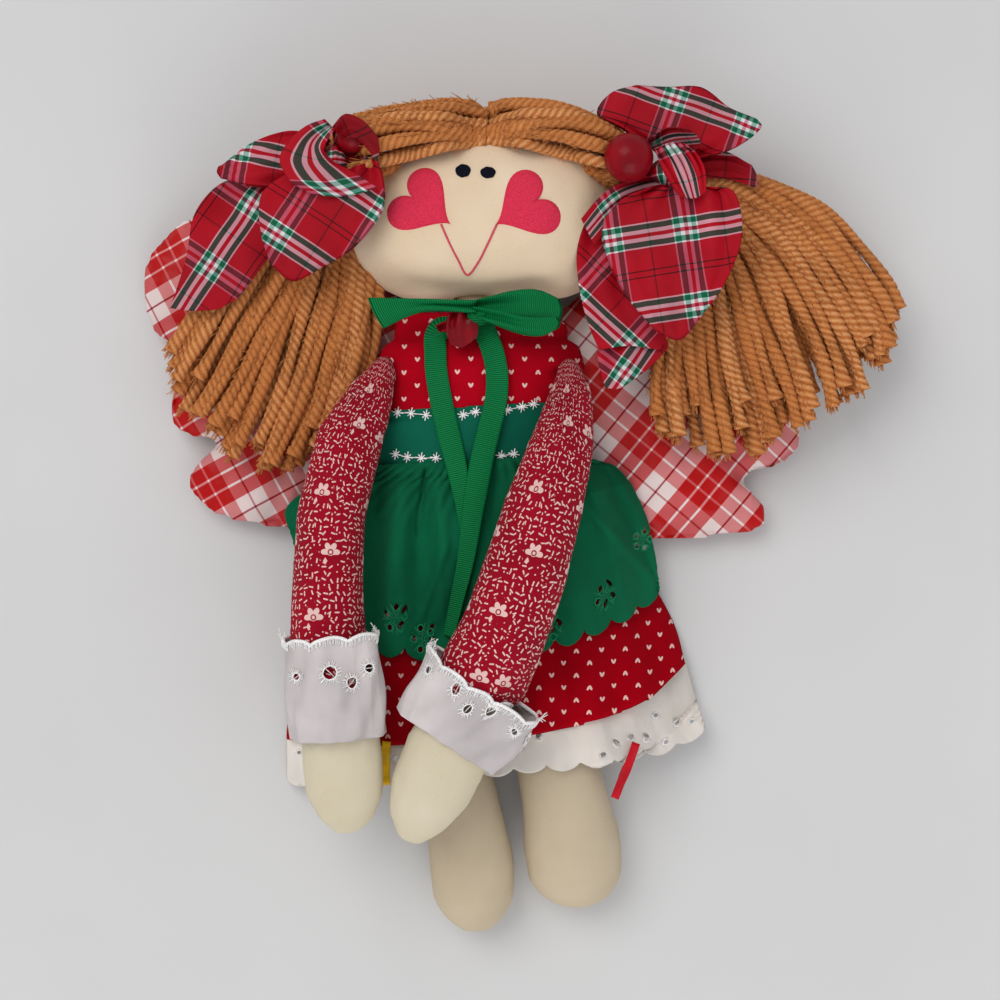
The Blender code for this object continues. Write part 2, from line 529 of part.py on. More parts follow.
def as_cutter(piece, name):
    """A hidden copy of a piece's whole shape, before its own cuts, pushed out by the clearance."""
    cuts = [step for step in piece.modifiers if step.type == "BOOLEAN"]
    for cut in cuts:
        cut.show_viewport = False
    depsgraph = bpy.context.evaluated_depsgraph_get()
    depsgraph.update()
    mesh = bpy.data.meshes.new_from_object(piece.evaluated_get(depsgraph))
    for cut in cuts:
        cut.show_viewport = True
    bm = bmesh.new()
    bm.from_mesh(mesh)
    bm.normal_update()
    for vertex in bm.verts:
        vertex.co += vertex.normal * CLEARANCE * min(vertex.calc_shell_factor(), SHARPEST_PUSH)
    bm.to_mesh(mesh)
    bm.free()
    cutter = bpy.data.objects.new(name, mesh)
    bpy.context.scene.collection.objects.link(cutter)
    hide_cutter(cutter)
    return cutter


def hide_cutter(cutter):
    """Mark an object as a tool that is no part of the doll."""
    cutter.hide_render = True
    cutter.display_type = "WIRE"


def cut_by(piece, cutter):
    """Subtract a cutter from a piece."""
    boolean = piece.modifiers.new("Cut", "BOOLEAN")
    boolean.operation = "DIFFERENCE"
    boolean.solver = "EXACT"
    boolean.object = cutter


def clear_of(piece, *neighbours):
    """Shape a piece round its neighbours, with a clearance."""
    for neighbour in neighbours:
        cut_by(piece, as_cutter(neighbour, "clear_" + piece.name + "_" + neighbour.name))


def drum(name, place, radius, low, high, sides=28):
    """A hidden upright drum, for a seat that a round end turns in."""
    bm = bmesh.new()
    bmesh.ops.create_cone(bm, cap_ends=True, segments=sides, radius1=radius, radius2=radius,
                          depth=high - low)
    bmesh.ops.translate(bm, verts=bm.verts, vec=(place[0], place[1], (low + high) / 2))
    cutter = finish_piece(name, bm, "muslin")
    hide_cutter(cutter)
    return cutter


def skin_of(piece):
    """The surface of a piece as it stands, for letting cloth down on it."""
    depsgraph = bpy.context.evaluated_depsgraph_get()
    depsgraph.update()
    return BVHTree.FromObject(piece, depsgraph)


def top_height(skins, x, y):
    """The height of the highest surface under a point of the sky, or of the table."""
    best = 0.0
    for skin in skins:
        hit = skin.ray_cast(Vector((x, y, SKY)), Vector((0, 0, -1)))[0]
        if hit is not None:
            best = max(best, hit.z)
    return best


def between_edges(top, hem, left, right, u, v):
    """A point of the patch that four edges span."""
    a, b, c, d = spline_point(top, u), spline_point(hem, u), spline_point(left, v), spline_point(right, v)
    corners = ((1 - u) * (1 - v) * Vector(top[0]) + u * (1 - v) * Vector(top[-1])
               + (1 - u) * v * Vector(hem[0]) + u * v * Vector(hem[-1]))
    return (1 - v) * a + v * b + (1 - u) * c + u * d - corners


def placed(size, place, shares):
    """Points given as shares of a size about a place."""
    return [(place[0] + x * size[0], place[1] + y * size[1]) for x, y in shares]


def let_down(name, finish, size, place, edge_shares, grid_size, under, folds):
    """Cloth let down on the pieces under it, stretched over their hollows, with folds to its hem."""
    columns, rows = grid_size
    edges = [placed(size, place, shares) for shares in edge_shares]
    skins = [skin_of(piece) for piece in under]
    spots = [[between_edges(*edges, i / columns, j / rows) for i in range(columns + 1)]
             for j in range(rows + 1)]
    held = [[0.0] * (columns + 1) for _ in range(rows + 1)]
    for j in range(rows + 1):
        for i in range(columns + 1):
            here = spots[j][i]
            highest = top_height(skins, here.x, here.y)
            for jj, ii in ((j - 1, i), (j + 1, i), (j, i - 1), (j, i + 1), (j - 1, i - 1), (j + 1, i + 1)):
                if 0 <= jj <= rows and 0 <= ii <= columns:
                    for step in NEAR_STEPS:
                        near = here.lerp(spots[jj][ii], step)
                        highest = max(highest, top_height(skins, near.x, near.y))
            held[j][i] = highest + DRAPE_GAP
    heights = [row[:] for row in held]
    for _ in range(STRETCH_PASSES):
        for j in range(rows + 1):
            for i in range(1, columns):
                around = [heights[j][i - 1], heights[j][i + 1]]
                heights[j][i] = max(held[j][i], sum(around) / len(around))
    bm = bmesh.new()
    grid = []
    for j in range(rows + 1):
        line = []
        for i in range(columns + 1):
            ripple = 0.5 - 0.5 * math.cos(2 * math.pi * folds * i / columns)
            rise = FOLD_HEIGHT * ripple * (WAIST_FOLD_SHARE + (1 - WAIST_FOLD_SHARE) * j / rows)
            line.append(bm.verts.new((spots[j][i].x, spots[j][i].y, heights[j][i] + rise)))
        grid.append(line)
    for j in range(rows):
        for i in range(columns):
            bm.faces.new((grid[j][i], grid[j + 1][i], grid[j + 1][i + 1], grid[j][i + 1]))
    piece = finish_piece(name, bm, finish)
    face_up(piece)
    return add_wall(piece, CLOTH)


def face_up(piece):
    """Turn an open sheet's faces to the sky."""
    if sum(face.normal.z for face in piece.data.polygons) < 0:
        piece.data.flip_normals()


def strip(name, finish, start, size, shares, width, under, steps, lift=CLEARANCE):
    """A ribbon laid from its start over the pieces under it, along a route of shares of its size."""
    route = placed(size, start, shares)
    skins = [skin_of(piece) for piece in under]
    bm = bmesh.new()
    lines = []
    for k in range(steps + 1):
        here = spline_point(route, k / steps)
        ahead = (spline_point(route, min((k + 0.5) / steps, 1.0))
                 - spline_point(route, max((k - 0.5) / steps, 0.0)))
        side = Vector((-ahead.y, ahead.x)).normalized() * width / 2
        edge_spots = [here + side, here, here - side]
        half = ahead * 0.5
        height = 0.0
        for spot in edge_spots:
            for near in (spot - half, spot, spot + half):
                height = max(height, top_height(skins, near.x, near.y))
        lines.append([bm.verts.new((spot.x, spot.y, height + lift)) for spot in edge_spots])
    for first, second in zip(lines, lines[1:]):
        for k in range(2):
            bm.faces.new((first[k], first[k + 1], second[k + 1], second[k]))
    piece = finish_piece(name, bm, finish)
    face_up(piece)
    return add_wall(piece, RIBBON)


def make_head():
    """The stuffed head, with a round seat for the neck, and its felt hearts."""
    outline = outline_points((HEAD_WIDTH, HEAD_HEIGHT), HEAD_PLACE, HEAD_OUTLINE_SHARES, 28)
    head = pillow("head", "muslin", outline, HEAD_PLACE, HEAD_HALF_DEPTH - FLAT_DEPTH, HEAD_HALF_DEPTH,
                  FINE_SHARES)
    flatten_underside(head)
    half_height = NECK_HALF_DEPTH + CLEARANCE
    seat = drum("neck_seat", NECK_PIVOT, NECK_RADIUS + SEAT_GAP, TORSO_MIDDLE - half_height,
                TORSO_MIDDLE + half_height)
    cut_by(head, seat)
    return head


def make_cheek(name, place, turn_deg, head):
    """A heart of felt that follows the face under it."""
    outline = outline_points((CHEEK_WIDTH, CHEEK_HEIGHT), place, heart_shares(28), 24, turn_deg)
    skin = [skin_of(head)]
    middle = Vector(place)
    lift = 2 * CLEARANCE
    bm = bmesh.new()
    rings = []
    for share in (1.0, 0.6):
        spots = [middle + (p - middle) * share for p in outline]
        rings.append([bm.verts.new((s.x, s.y, top_height(skin, s.x, s.y) + lift)) for s in spots])
    pole = bm.verts.new((middle.x, middle.y, top_height(skin, middle.x, middle.y) + lift))
    for outer, inner in zip(rings, rings[1:]):
        for k in range(len(outline)):
            after = (k + 1) % len(outline)
            bm.faces.new((outer[k], outer[after], inner[after], inner[k]))
    for k in range(len(outline)):
        bm.faces.new((rings[-1][k], rings[-1][(k + 1) % len(outline)], pole))
    cheek = finish_piece(name, bm, "felt")
    face_up(cheek)
    return add_wall(cheek, FELT)


def torso_ring(share, width_share, depth_share, ease=0.0):
    """One ring of the torso, at a share of its length from the top."""
    return (0.0, TORSO_TOP - share * TORSO_LENGTH, TORSO_MIDDLE,
            width_share * TORSO_HALF_WIDTH + ease, depth_share * TORSO_HALF_DEPTH + ease)


def torso_ring_at(y, ease):
    """The torso's ring at a place along it, eased out."""
    share = (TORSO_TOP - y) / TORSO_LENGTH
    for above, below in zip(TORSO_RING_SHARES, TORSO_RING_SHARES[1:]):
        if above[0] <= share <= below[0]:
            part = (share - above[0]) / (below[0] - above[0])
            wide, deep = (above[k] + (below[k] - above[k]) * part for k in (1, 2))
            return torso_ring(share, wide, deep, ease)
    return torso_ring(share, *TORSO_RING_SHARES[0 if share < 0 else -1][1:], ease)


def make_torso():
    """The stuffed body, with a seat for each hip."""
    torso = limb("torso", "muslin", [torso_ring(*ring) for ring in TORSO_RING_SHARES], 20)
    for side, hip in (("left", HIP_LEFT), ("right", HIP_RIGHT)):
        cut_by(torso, drum("hip_seat_" + side, hip, HIP_RADIUS + SEAT_GAP, -OVERRUN,
                           TORSO_MIDDLE + TORSO_HALF_DEPTH + OVERRUN))
    return torso


def make_neck():
    """The neck stub, whose round end is centred on the point that the head turns about."""
    pivot = (*NECK_PIVOT, TORSO_MIDDLE)
    stub = (pivot[0], pivot[1] - NECK_LENGTH, TORSO_MIDDLE, NECK_RADIUS, NECK_HALF_DEPTH)
    return limb("neck", "muslin", [*round_end(pivot, NECK_RADIUS, NECK_HALF_DEPTH), stub])


def garment(name, finish, start, end, turn_below):
    """A band of cloth round the torso, from one place along it to another, turned below a place."""
    ring_places = [TORSO_TOP - ring[0] * TORSO_LENGTH for ring in TORSO_RING_SHARES]
    places = [start] + [y for y in ring_places if end < y < start] + [end]
    band = limb(name, finish, [torso_ring_at(y, GARMENT_EASE) for y in places], 28, capped=False)
    slope = math.tan(math.radians(BAND_TURN_DEG))
    for vertex in band.data.vertices:
        if vertex.co.y < turn_below:
            vertex.co.y += vertex.co.x * slope
    return add_wall(band, CLOTH)


def make_shoulder_seat(name, shoulder):
    """A hidden ball that leaves room for the sleeve's round end to turn."""
    bm = bmesh.new()
    bmesh.ops.create_uvsphere(bm, u_segments=20, v_segments=12, radius=SHOULDER_RADIUS + SEAT_GAP)
    bmesh.ops.translate(bm, verts=bm.verts, vec=shoulder)
    seat = finish_piece(name, bm, "muslin")
    hide_cutter(seat)
    return seat


def make_leg(name, hip, run, half, shares):
    """A stuffed leg whose round top is centred on the hip that it turns about."""
    rings = limb_rings(hip, run, half, shares)
    return flatten_underside(limb(name, "muslin", round_end(hip, HIP_RADIUS, rings[0][4]) + rings))


def turned_copy(piece, name, place, angle_deg):
    """A hidden copy of a piece, turned about an upright axis."""
    copy = bpy.data.objects.new(name, piece.data.copy())
    bpy.context.scene.collection.objects.link(copy)
    pivot = Vector((place[0], place[1], 0.0))
    turn = Matrix.Rotation(math.radians(angle_deg), 4, "Z")
    copy.data.transform(Matrix.Translation(pivot) @ turn @ Matrix.Translation(-pivot))
    hide_cutter(copy)
    return copy


def back_panel(name, finish, size, place, low):
    """The skirt's lower panel, flat on the table, with a wavy hem."""
    half_width, half_length = size[0] / 2, size[1] / 2
    bm = bmesh.new()
    columns = 4 * BACK_HEM_WAVES
    lines = []
    for share in (1.0, 0.0, -1.0):
        line = []
        for i in range(columns + 1):
            x = place[0] + half_width * (2 * i / columns - 1)
            y = place[1] + half_length * share
            if share < 0:
                y += BACK_HEM_DEPTH * math.cos(2 * math.pi * BACK_HEM_WAVES * i / columns)
            line.append(bm.verts.new((x, y, low)))
        lines.append(line)
    for first, second in zip(lines, lines[1:]):
        for i in range(columns):
            bm.faces.new((first[i], second[i], second[i + 1], first[i + 1]))
    panel = finish_piece(name, bm, finish)
    face_up(panel)
    return add_wall(panel, CLOTH)


def make_bead(name, radius, place):
    """A painted wooden bead with its bore along Y."""
    bm = bmesh.new()
    bmesh.ops.create_uvsphere(bm, u_segments=16, v_segments=10, radius=radius)
    bmesh.ops.translate(bm, verts=bm.verts, vec=place)
    bead = finish_piece(name, bm, "red_bead")
    bm = bmesh.new()
    bmesh.ops.create_cone(bm, cap_ends=True, segments=10, radius1=BEAD_BORE, radius2=BEAD_BORE,
                          depth=2 * (radius + OVERRUN))
    bmesh.ops.rotate(bm, verts=bm.verts, cent=(0, 0, 0), matrix=Matrix.Rotation(math.pi / 2, 3, "X"))
    bmesh.ops.translate(bm, verts=bm.verts, vec=place)
    bore = finish_piece(name + "_bore", bm, "red_bead")
    hide_cutter(bore)
    cut_by(bead, bore)
    return bead


def make_arm(side, shoulder, sleeve_run, sleeve_half, sleeve_shares, hand_shape, cuff_shape, garments):
    """A stuffed sleeve, the hand that comes out of it and the lace cuff round both."""
    rings = limb_rings(shoulder, sleeve_run, sleeve_half, sleeve_shares)
    wrist = rings[-1][:3]
    sleeve = limb("sleeve_" + side, "calico", round_end(shoulder, SHOULDER_RADIUS, SHOULDER_RADIUS) + rings)
    hand = limb("hand_" + side, "muslin", limb_rings(wrist, *hand_shape))
    cuff = limb("cuff_" + side, "lace", limb_rings(wrist, *cuff_shape), 18)
    clear_of(sleeve, *garments)
    clear_of(hand, sleeve)
    clear_of(cuff, sleeve, hand)
    return sleeve, cuff, hand


def sit_on(name, finish, size, place, half_depth, shares, under, count=14):
    """A small pillow that sits close on what is under it."""
    skins = [skin_of(piece) for piece in under]
    outline = outline_points(size, place, shares, count)
    middle = 0.0
    for share in (0.0, *PLAIN_SHARES, 1.0):
        sag = half_depth * (1 - share ** PUFF_POWER) ** (1 / PUFF_POWER)
        for p in outline:
            spot = Vector(place).lerp(p, share)
            middle = max(middle, top_height(skins, spot.x, spot.y) + sag)
    piece = pillow(name, finish, outline, place, middle + CLEARANCE, half_depth, PLAIN_SHARES)
    clear_of(piece, *under)
    return piece


def set_origin(piece, place):
    """Move a piece's origin to a place without moving the piece."""
    spot = Vector(place) if len(place) == 3 else Vector((place[0], place[1], 0.0))
    piece.data.transform(Matrix.Translation(-spot))
    piece.location = spot


def make_wings():
    """The two wings, each a stuffed pillow of three lobes that lies flat on the table."""
    wings = []
    for name, size, place, shares in (("wing_left", WING_LEFT_SIZE, WING_LEFT_PLACE, WING_LEFT_SHARES),
                                      ("wing_right", WING_RIGHT_SIZE, WING_RIGHT_PLACE, WING_RIGHT_SHARES)):
        outline = outline_points(size, place, shares, 36)
        wing = pillow(name, "check_satin", outline, place, WING_HALF_DEPTH - FLAT_DEPTH, WING_HALF_DEPTH,
                      PLAIN_SHARES)
        wings.append(flatten_underside(wing))
    clear_of(wings[1], wings[0])
    return wings


def make_hair(head):
    """The two halves of the crown and the two pigtails."""
    middle = CROWN_HALF_DEPTH - FLAT_DEPTH
    crowns = []
    for name, size, place, shares in (
            ("crown_left", CROWN_LEFT_SIZE, CROWN_LEFT_PLACE, CROWN_LEFT_SHARES),
            ("crown_right", CROWN_RIGHT_SIZE, CROWN_RIGHT_PLACE, CROWN_RIGHT_SHARES)):
        outline = outline_points(size, place, shares, 20)
        crown = pillow(name, "yarn", outline, place, middle, CROWN_HALF_DEPTH, PLAIN_SHARES)
        flatten_underside(crown)
        clear_of(crown, head)
        crowns.append(crown)
    clear_of(crowns[1], crowns[0])
    tie = drum("tie_seat", PIGTAIL_LEFT_TIE, TIE_SEAT_RADIUS, PIGTAIL_LOW - CLEARANCE,
               PIGTAIL_LOW + 2 * PIGTAIL_HALF_DEPTH + CLEARANCE)
    cut_by(crowns[0], tie)
    pigtails = []
    for name, size, place, shares in (
            ("pigtail_left", PIGTAIL_LEFT_SIZE, PIGTAIL_LEFT_PLACE, PIGTAIL_LEFT_SHARES),
            ("pigtail_right", PIGTAIL_RIGHT_SIZE, PIGTAIL_RIGHT_PLACE, PIGTAIL_RIGHT_SHARES)):
        outline = outline_points(size, place, shares, 24)
        pigtail = pillow(name, "yarn", outline, place, PIGTAIL_LOW + PIGTAIL_HALF_DEPTH, PIGTAIL_HALF_DEPTH,
                         PLAIN_SHARES)
        clear_of(pigtail, head)
        pigtails.append(pigtail)
    return crowns, pigtails


def make_hair_bows(head, crowns, pigtails):
    """The beads, knots, loops and tails of the two hair bows, each shaped round those before it."""
    made = []
    swings = {"left": (pigtails[0], PIGTAIL_LEFT_TIE, -PIGTAIL_LEFT_SWING_DEG),
              "right": (pigtails[1], PIGTAIL_RIGHT_TIE, PIGTAIL_RIGHT_SWING_DEG)}
    for side in ("left", "right"):
        bead = make_bead("bead_" + side, *BEADS[side])
        size, place, half_depth = BOW_KNOTS[side]
        outline = outline_points(size, place[:2], round_shares(12), 14)
        knot = pillow("bow_" + side + "_knot", "tartan", outline,
                      place[:2], place[2], half_depth, PLAIN_SHARES)
        clear_of(bead, head)
        for crown in crowns:
            clear_of(crown, bead)
        clear_of(knot, head, *crowns, bead)
        pigtail, tie, swing = swings[side]
        for step in SWING_STEPS:
            cut_by(knot, as_cutter(turned_copy(pigtail, "swung", tie, step * swing), "clear_" + pigtail.name))
        before = [head, *crowns, bead, knot]
        for name, (size, place, half_depth) in BOW_LOOPS.items():
            if not name.startswith("bow_" + side):
                continue
            outline = outline_points(size, place[:2], BOW_LOOP_SHARES[name], 16)
            loop = pillow(name, "tartan", outline, place[:2], place[2], half_depth, PLAIN_SHARES)
            clear_of(loop, *before)
            before.append(loop)
        made.extend(before[1 + len(crowns):])
    return made


def make_neck_bow(bodice, band, apron, torso):
    """The green ribbon round the neck, its knot and loops, the two long tails and the red charm."""
    top = NECK_PIVOT[1] - NECK_RIBBON_DROP
    rings = [(NECK_PIVOT[0], y, TORSO_MIDDLE, NECK_RADIUS + CLEARANCE, NECK_HALF_DEPTH + CLEARANCE)
             for y in (top - NECK_RIBBON_WIDTH, top)]
    ribbon = add_wall(limb("neck_ribbon", "grosgrain", rings, 18, capped=False), RIBBON)
    middle = TORSO_MIDDLE + NECK_HALF_DEPTH + RIBBON + 2 * CLEARANCE + NECK_KNOT_HALF_DEPTH
    knot_outline = outline_points(NECK_KNOT_SIZE, NECK_KNOT_PLACE, round_shares(12), 14)
    knot = pillow("neck_knot", "grosgrain", knot_outline, NECK_KNOT_PLACE, middle, NECK_KNOT_HALF_DEPTH,
                  PLAIN_SHARES)
    loops = []
    for name, size, place, shares in (
            ("neck_loop_left", NECK_LOOP_LEFT_SIZE, NECK_LOOP_LEFT_PLACE, NECK_LOOP_LEFT_SHARES),
            ("neck_loop_right", NECK_LOOP_RIGHT_SIZE, NECK_LOOP_RIGHT_PLACE, NECK_LOOP_RIGHT_SHARES)):
        outline = outline_points(size, place, shares, 16)
        loop = pillow(name, "grosgrain", outline, place, middle + NECK_LOOP_RISE, NECK_LOOP_HALF_DEPTH,
                      PLAIN_SHARES)
        clear_of(loop, knot)
        loops.append(loop)
    front = [torso, bodice, band, apron]
    tails = [strip("neck_tail_left", "grosgrain", NECK_TAIL_LEFT_START, NECK_TAIL_LEFT_SIZE,
                   NECK_TAIL_LEFT_SHARES, NECK_TAIL_WIDTH, front, 18),
             strip("neck_tail_right", "grosgrain", NECK_TAIL_RIGHT_START, NECK_TAIL_RIGHT_SIZE,
                   NECK_TAIL_RIGHT_SHARES, NECK_TAIL_WIDTH, front, 24)]
    charm = sit_on("neck_charm", "satin", CHARM_SIZE, CHARM_PLACE, CHARM_HALF_DEPTH, round_shares(12),
                   front + tails)
    return [ribbon, knot, *loops, *tails, charm]


def make_skirts(wings, torso, band, legs):
    """The skirts: two panels on the table, then the flounce, the dress and the apron let down in turn."""
    flounce_size = (FLOUNCE_SIZE[0] - BACK_FLOUNCE_INSET, BACK_FLOUNCE_LENGTH)
    flounce_back = back_panel("flounce_back", "lace", flounce_size, BACK_FLOUNCE_PLACE, 0.0)
    dress_size = (DRESS_SIZE[0] - BACK_DRESS_INSET, BACK_DRESS_LENGTH)
    dress_back = back_panel("dress_back", "heart_print", dress_size, BACK_DRESS_PLACE, CLOTH + CLEARANCE)
    spread = []
    for leg, hip, way in ((legs[0], HIP_LEFT, -1), (legs[1], HIP_RIGHT, 1)):
        for share in SWING_STEPS[1:]:
            spread.append(turned_copy(leg, leg.name + "_spread", hip, way * share * LEG_SPREAD_DEG))
    under = [*wings, torso, *legs, *spread, flounce_back, dress_back]
    flounce = let_down("flounce_front", "lace", FLOUNCE_SIZE, FLOUNCE_PLACE, FLOUNCE_EDGE_SHARES,
                       (36, 4), under, FLOUNCE_FOLDS)
    under.append(flounce)
    dress = let_down("dress_front", "heart_print", DRESS_SIZE, DRESS_PLACE, DRESS_EDGE_SHARES,
                     (32, 9), under, DRESS_FOLDS)
    under.append(dress)
    apron = let_down("apron", "green_cloth", APRON_SIZE, APRON_PLACE, APRON_EDGE_SHARES,
                     (34, 7), under, APRON_FOLDS)
    ends = [strip("ribbon_end_yellow", "yellow_ribbon", RIBBON_END_YELLOW_START, RIBBON_END_YELLOW_SIZE,
                  RIBBON_END_YELLOW_SHARES, RIBBON_END_WIDTH, under, 8, DRAPE_GAP),
            strip("ribbon_end_red", "satin", RIBBON_END_RED_START, RIBBON_END_RED_SIZE,
                  RIBBON_END_RED_SHARES, RIBBON_END_WIDTH, under, 8, DRAPE_GAP)]
    return dress_back, flounce_back, flounce, dress, apron, ends


def gather(pieces, pivots):
    """Put each moving piece's origin on its joint and the doll's box over the origin."""
    depsgraph = bpy.context.evaluated_depsgraph_get()
    depsgraph.update()
    corners = []
    for piece in pieces:
        mesh = piece.evaluated_get(depsgraph).to_mesh()
        corners.extend(vertex.co.copy() for vertex in mesh.vertices)
    middle = [(max(c[k] for c in corners) + min(c[k] for c in corners)) / 2 for k in range(2)]
    doll = bpy.data.objects.new("doll", None)
    bpy.context.scene.collection.objects.link(doll)
    doll.location = (-middle[0], -middle[1], -min(c.z for c in corners))
    for thing in bpy.context.scene.objects:
        if thing.type != "MESH":
            continue
        if thing.name in pivots:
            set_origin(thing, pivots[thing.name])
        thing.parent = doll
    print("The doll is moved by", tuple(round(value, 5) for value in doll.location))


def main():
    """Model every piece and gather them under one parent."""
    clear_scene()
    wings = make_wings()
    torso = make_torso()
    neck = make_neck()
    clear_of(torso, neck)
    head = make_head()
    for wing in wings:
        for angle in HEAD_SWEEP_DEG:
            cut_by(wing, as_cutter(turned_copy(head, "head_turned", NECK_PIVOT, angle), "clear_head"))
    cheeks = [make_cheek("cheek_left", CHEEK_LEFT_PLACE, CHEEK_LEFT_TURN_DEG, head),
              make_cheek("cheek_right", CHEEK_RIGHT_PLACE, CHEEK_RIGHT_TURN_DEG, head)]
    crowns, pigtails = make_hair(head)
    hair_bows = make_hair_bows(head, crowns, pigtails)
    seats = [make_shoulder_seat("shoulder_seat_left", SHOULDER_LEFT),
             make_shoulder_seat("shoulder_seat_right", SHOULDER_RIGHT)]
    bodice = garment("bodice", "heart_print", BODICE_TOP, BODICE_END, BODICE_END / 2)
    band = garment("waistband", "green_cloth", BAND_TOP, BAND_END, BAND_TOP / 2)
    for seat in seats:
        cut_by(torso, seat)
        cut_by(bodice, seat)
    for wing in wings:
        clear_of(wing, torso, bodice, band)
    legs = [make_leg("leg_left", HIP_LEFT, LEG_LEFT_RUN, LEG_LEFT_HALF, LEG_LEFT_SHARES),
            make_leg("leg_right", HIP_RIGHT, LEG_RIGHT_RUN, LEG_RIGHT_HALF, LEG_RIGHT_SHARES)]
    dress_back, flounce_back, flounce, dress, apron, ends = make_skirts(wings, torso, band, legs)
    neck_bow = make_neck_bow(bodice, band, apron, torso)
    garments = [torso, bodice, band]
    left_arm = make_arm("left", SHOULDER_LEFT, SLEEVE_LEFT_RUN, SLEEVE_LEFT_HALF, SLEEVE_LEFT_SHARES,
                        (HAND_LEFT_RUN, HAND_LEFT_HALF, HAND_LEFT_SHARES),
                        (CUFF_LEFT_RUN, CUFF_LEFT_HALF, CUFF_LEFT_SHARES), garments)
    right_arm = make_arm("right", SHOULDER_RIGHT, SLEEVE_RIGHT_RUN, SLEEVE_RIGHT_HALF, SLEEVE_RIGHT_SHARES,
                         (HAND_RIGHT_RUN, HAND_RIGHT_HALF, HAND_RIGHT_SHARES),
                         (CUFF_RIGHT_RUN, CUFF_RIGHT_HALF, CUFF_RIGHT_SHARES), garments)
    pivots = {piece.name: NECK_PIVOT for piece in [head, *cheeks, *crowns, *hair_bows]}
    pivots.update({"pigtail_left": PIGTAIL_LEFT_TIE, "pigtail_right": PIGTAIL_RIGHT_TIE})
    pivots.update({"leg_left": HIP_LEFT[:2], "leg_right": HIP_RIGHT[:2]})
    pivots.update({piece.name: SHOULDER_LEFT for piece in left_arm})
    pivots.update({piece.name: SHOULDER_RIGHT for piece in right_arm})
    rest = [*wings, torso, neck, bodice, band, dress_back, flounce_back, flounce, dress, apron, *ends,
            *neck_bow]
    moving = [head, *cheeks, *crowns, *pigtails, *hair_bows, *legs, *left_arm, *right_arm]
    gather(rest + moving, pivots)


main()
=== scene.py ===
"""A country rag doll angel that lies on its back: stuffed muslin, yarn hair, satin wings, print clothes.

Head towards +Y, front up (+Z). Left and right are the sides of the picture. Lengths in metres.
"""

import math
import random
from contextlib import contextmanager

import bmesh
import bpy
import numpy as np
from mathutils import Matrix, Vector, noise
from mathutils.bvhtree import BVHTree


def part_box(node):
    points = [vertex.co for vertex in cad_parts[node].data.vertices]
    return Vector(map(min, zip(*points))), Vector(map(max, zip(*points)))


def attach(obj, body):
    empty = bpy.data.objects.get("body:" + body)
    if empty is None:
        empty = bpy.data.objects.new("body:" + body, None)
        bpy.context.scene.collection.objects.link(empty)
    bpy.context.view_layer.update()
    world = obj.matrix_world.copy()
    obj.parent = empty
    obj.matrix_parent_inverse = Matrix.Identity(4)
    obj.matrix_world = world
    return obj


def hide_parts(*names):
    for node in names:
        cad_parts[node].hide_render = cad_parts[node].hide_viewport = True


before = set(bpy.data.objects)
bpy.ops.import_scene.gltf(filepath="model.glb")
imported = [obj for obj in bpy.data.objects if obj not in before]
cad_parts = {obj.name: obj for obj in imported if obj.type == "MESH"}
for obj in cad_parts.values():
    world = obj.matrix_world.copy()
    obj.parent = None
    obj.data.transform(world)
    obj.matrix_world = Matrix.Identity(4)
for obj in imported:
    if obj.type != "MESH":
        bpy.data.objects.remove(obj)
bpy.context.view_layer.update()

SIDES = ("left", "right")
TURN = 2 * math.pi

# Camera and light

EYE_HEIGHT = 0.900
EYE = Vector((-0.00828, 0.00774, EYE_HEIGHT))
VIEW_HALF_WIDTH = 0.210          # seen at PLANE_HEIGHT
PLANE_HEIGHT = 0.030
PICTURE = 1000                   # columns and rows of the picture that places are read from

# Each lamp's place, size, power and tint
LAMPS = {
    "window": ((-1.2, 1.4, 2.7), 2.1, 44.0, (1.0, 0.985, 0.965)),
    "fill": ((0.2, -2.2, 1.3), 2.0, 24.0, (0.99, 0.99, 1.0)),
}
LAMP_AIM = Vector((0, 0, 0.02))
ROOM_TINT, ROOM_STRENGTH = (0.93, 0.95, 1.0, 1), 0.64


def pixel(height):
    """What one pixel of the picture spans at this height."""
    return 2 * VIEW_HALF_WIDTH / PICTURE * (EYE_HEIGHT - height) / (EYE_HEIGHT - PLANE_HEIGHT)


def seen(column, row, height):
    """The point at this height that shows at this column and row of the picture."""
    step = pixel(height)
    return Vector((EYE.x + (column - PICTURE / 2) * step, EYE.y - (row - PICTURE / 2) * step, height))


def in_picture(points, height):
    """The column and row of the picture at which points of about this height show."""
    step = pixel(height)
    return PICTURE / 2 + (points[:, 0] - EYE.x) / step, PICTURE / 2 - (points[:, 1] - EYE.y) / step


def colour(code, strength=1.0):
    """A colour as written in a paint box (#rrggbb), in the linear values that a shader takes."""
    parts = [int(code[i:i + 2], 16) / 255 for i in (1, 3, 5)]
    linear = [c / 12.92 if c <= 0.04045 else ((c + 0.055) / 1.055) ** 2.4 for c in parts]
    return (*[c * strength for c in linear], 1.0)


def grey(level):
    return (level, level, level, 1.0)


def make_camera():
    data = bpy.data.cameras.new("camera")
    data.sensor_width = 36
    data.lens = data.sensor_width / 2 * (EYE_HEIGHT - PLANE_HEIGHT) / VIEW_HALF_WIDTH
    data.clip_start, data.clip_end = 0.05, 10
    camera = bpy.data.objects.new("camera", data)
    camera.location = EYE
    bpy.context.scene.collection.objects.link(camera)
    bpy.context.scene.camera = camera


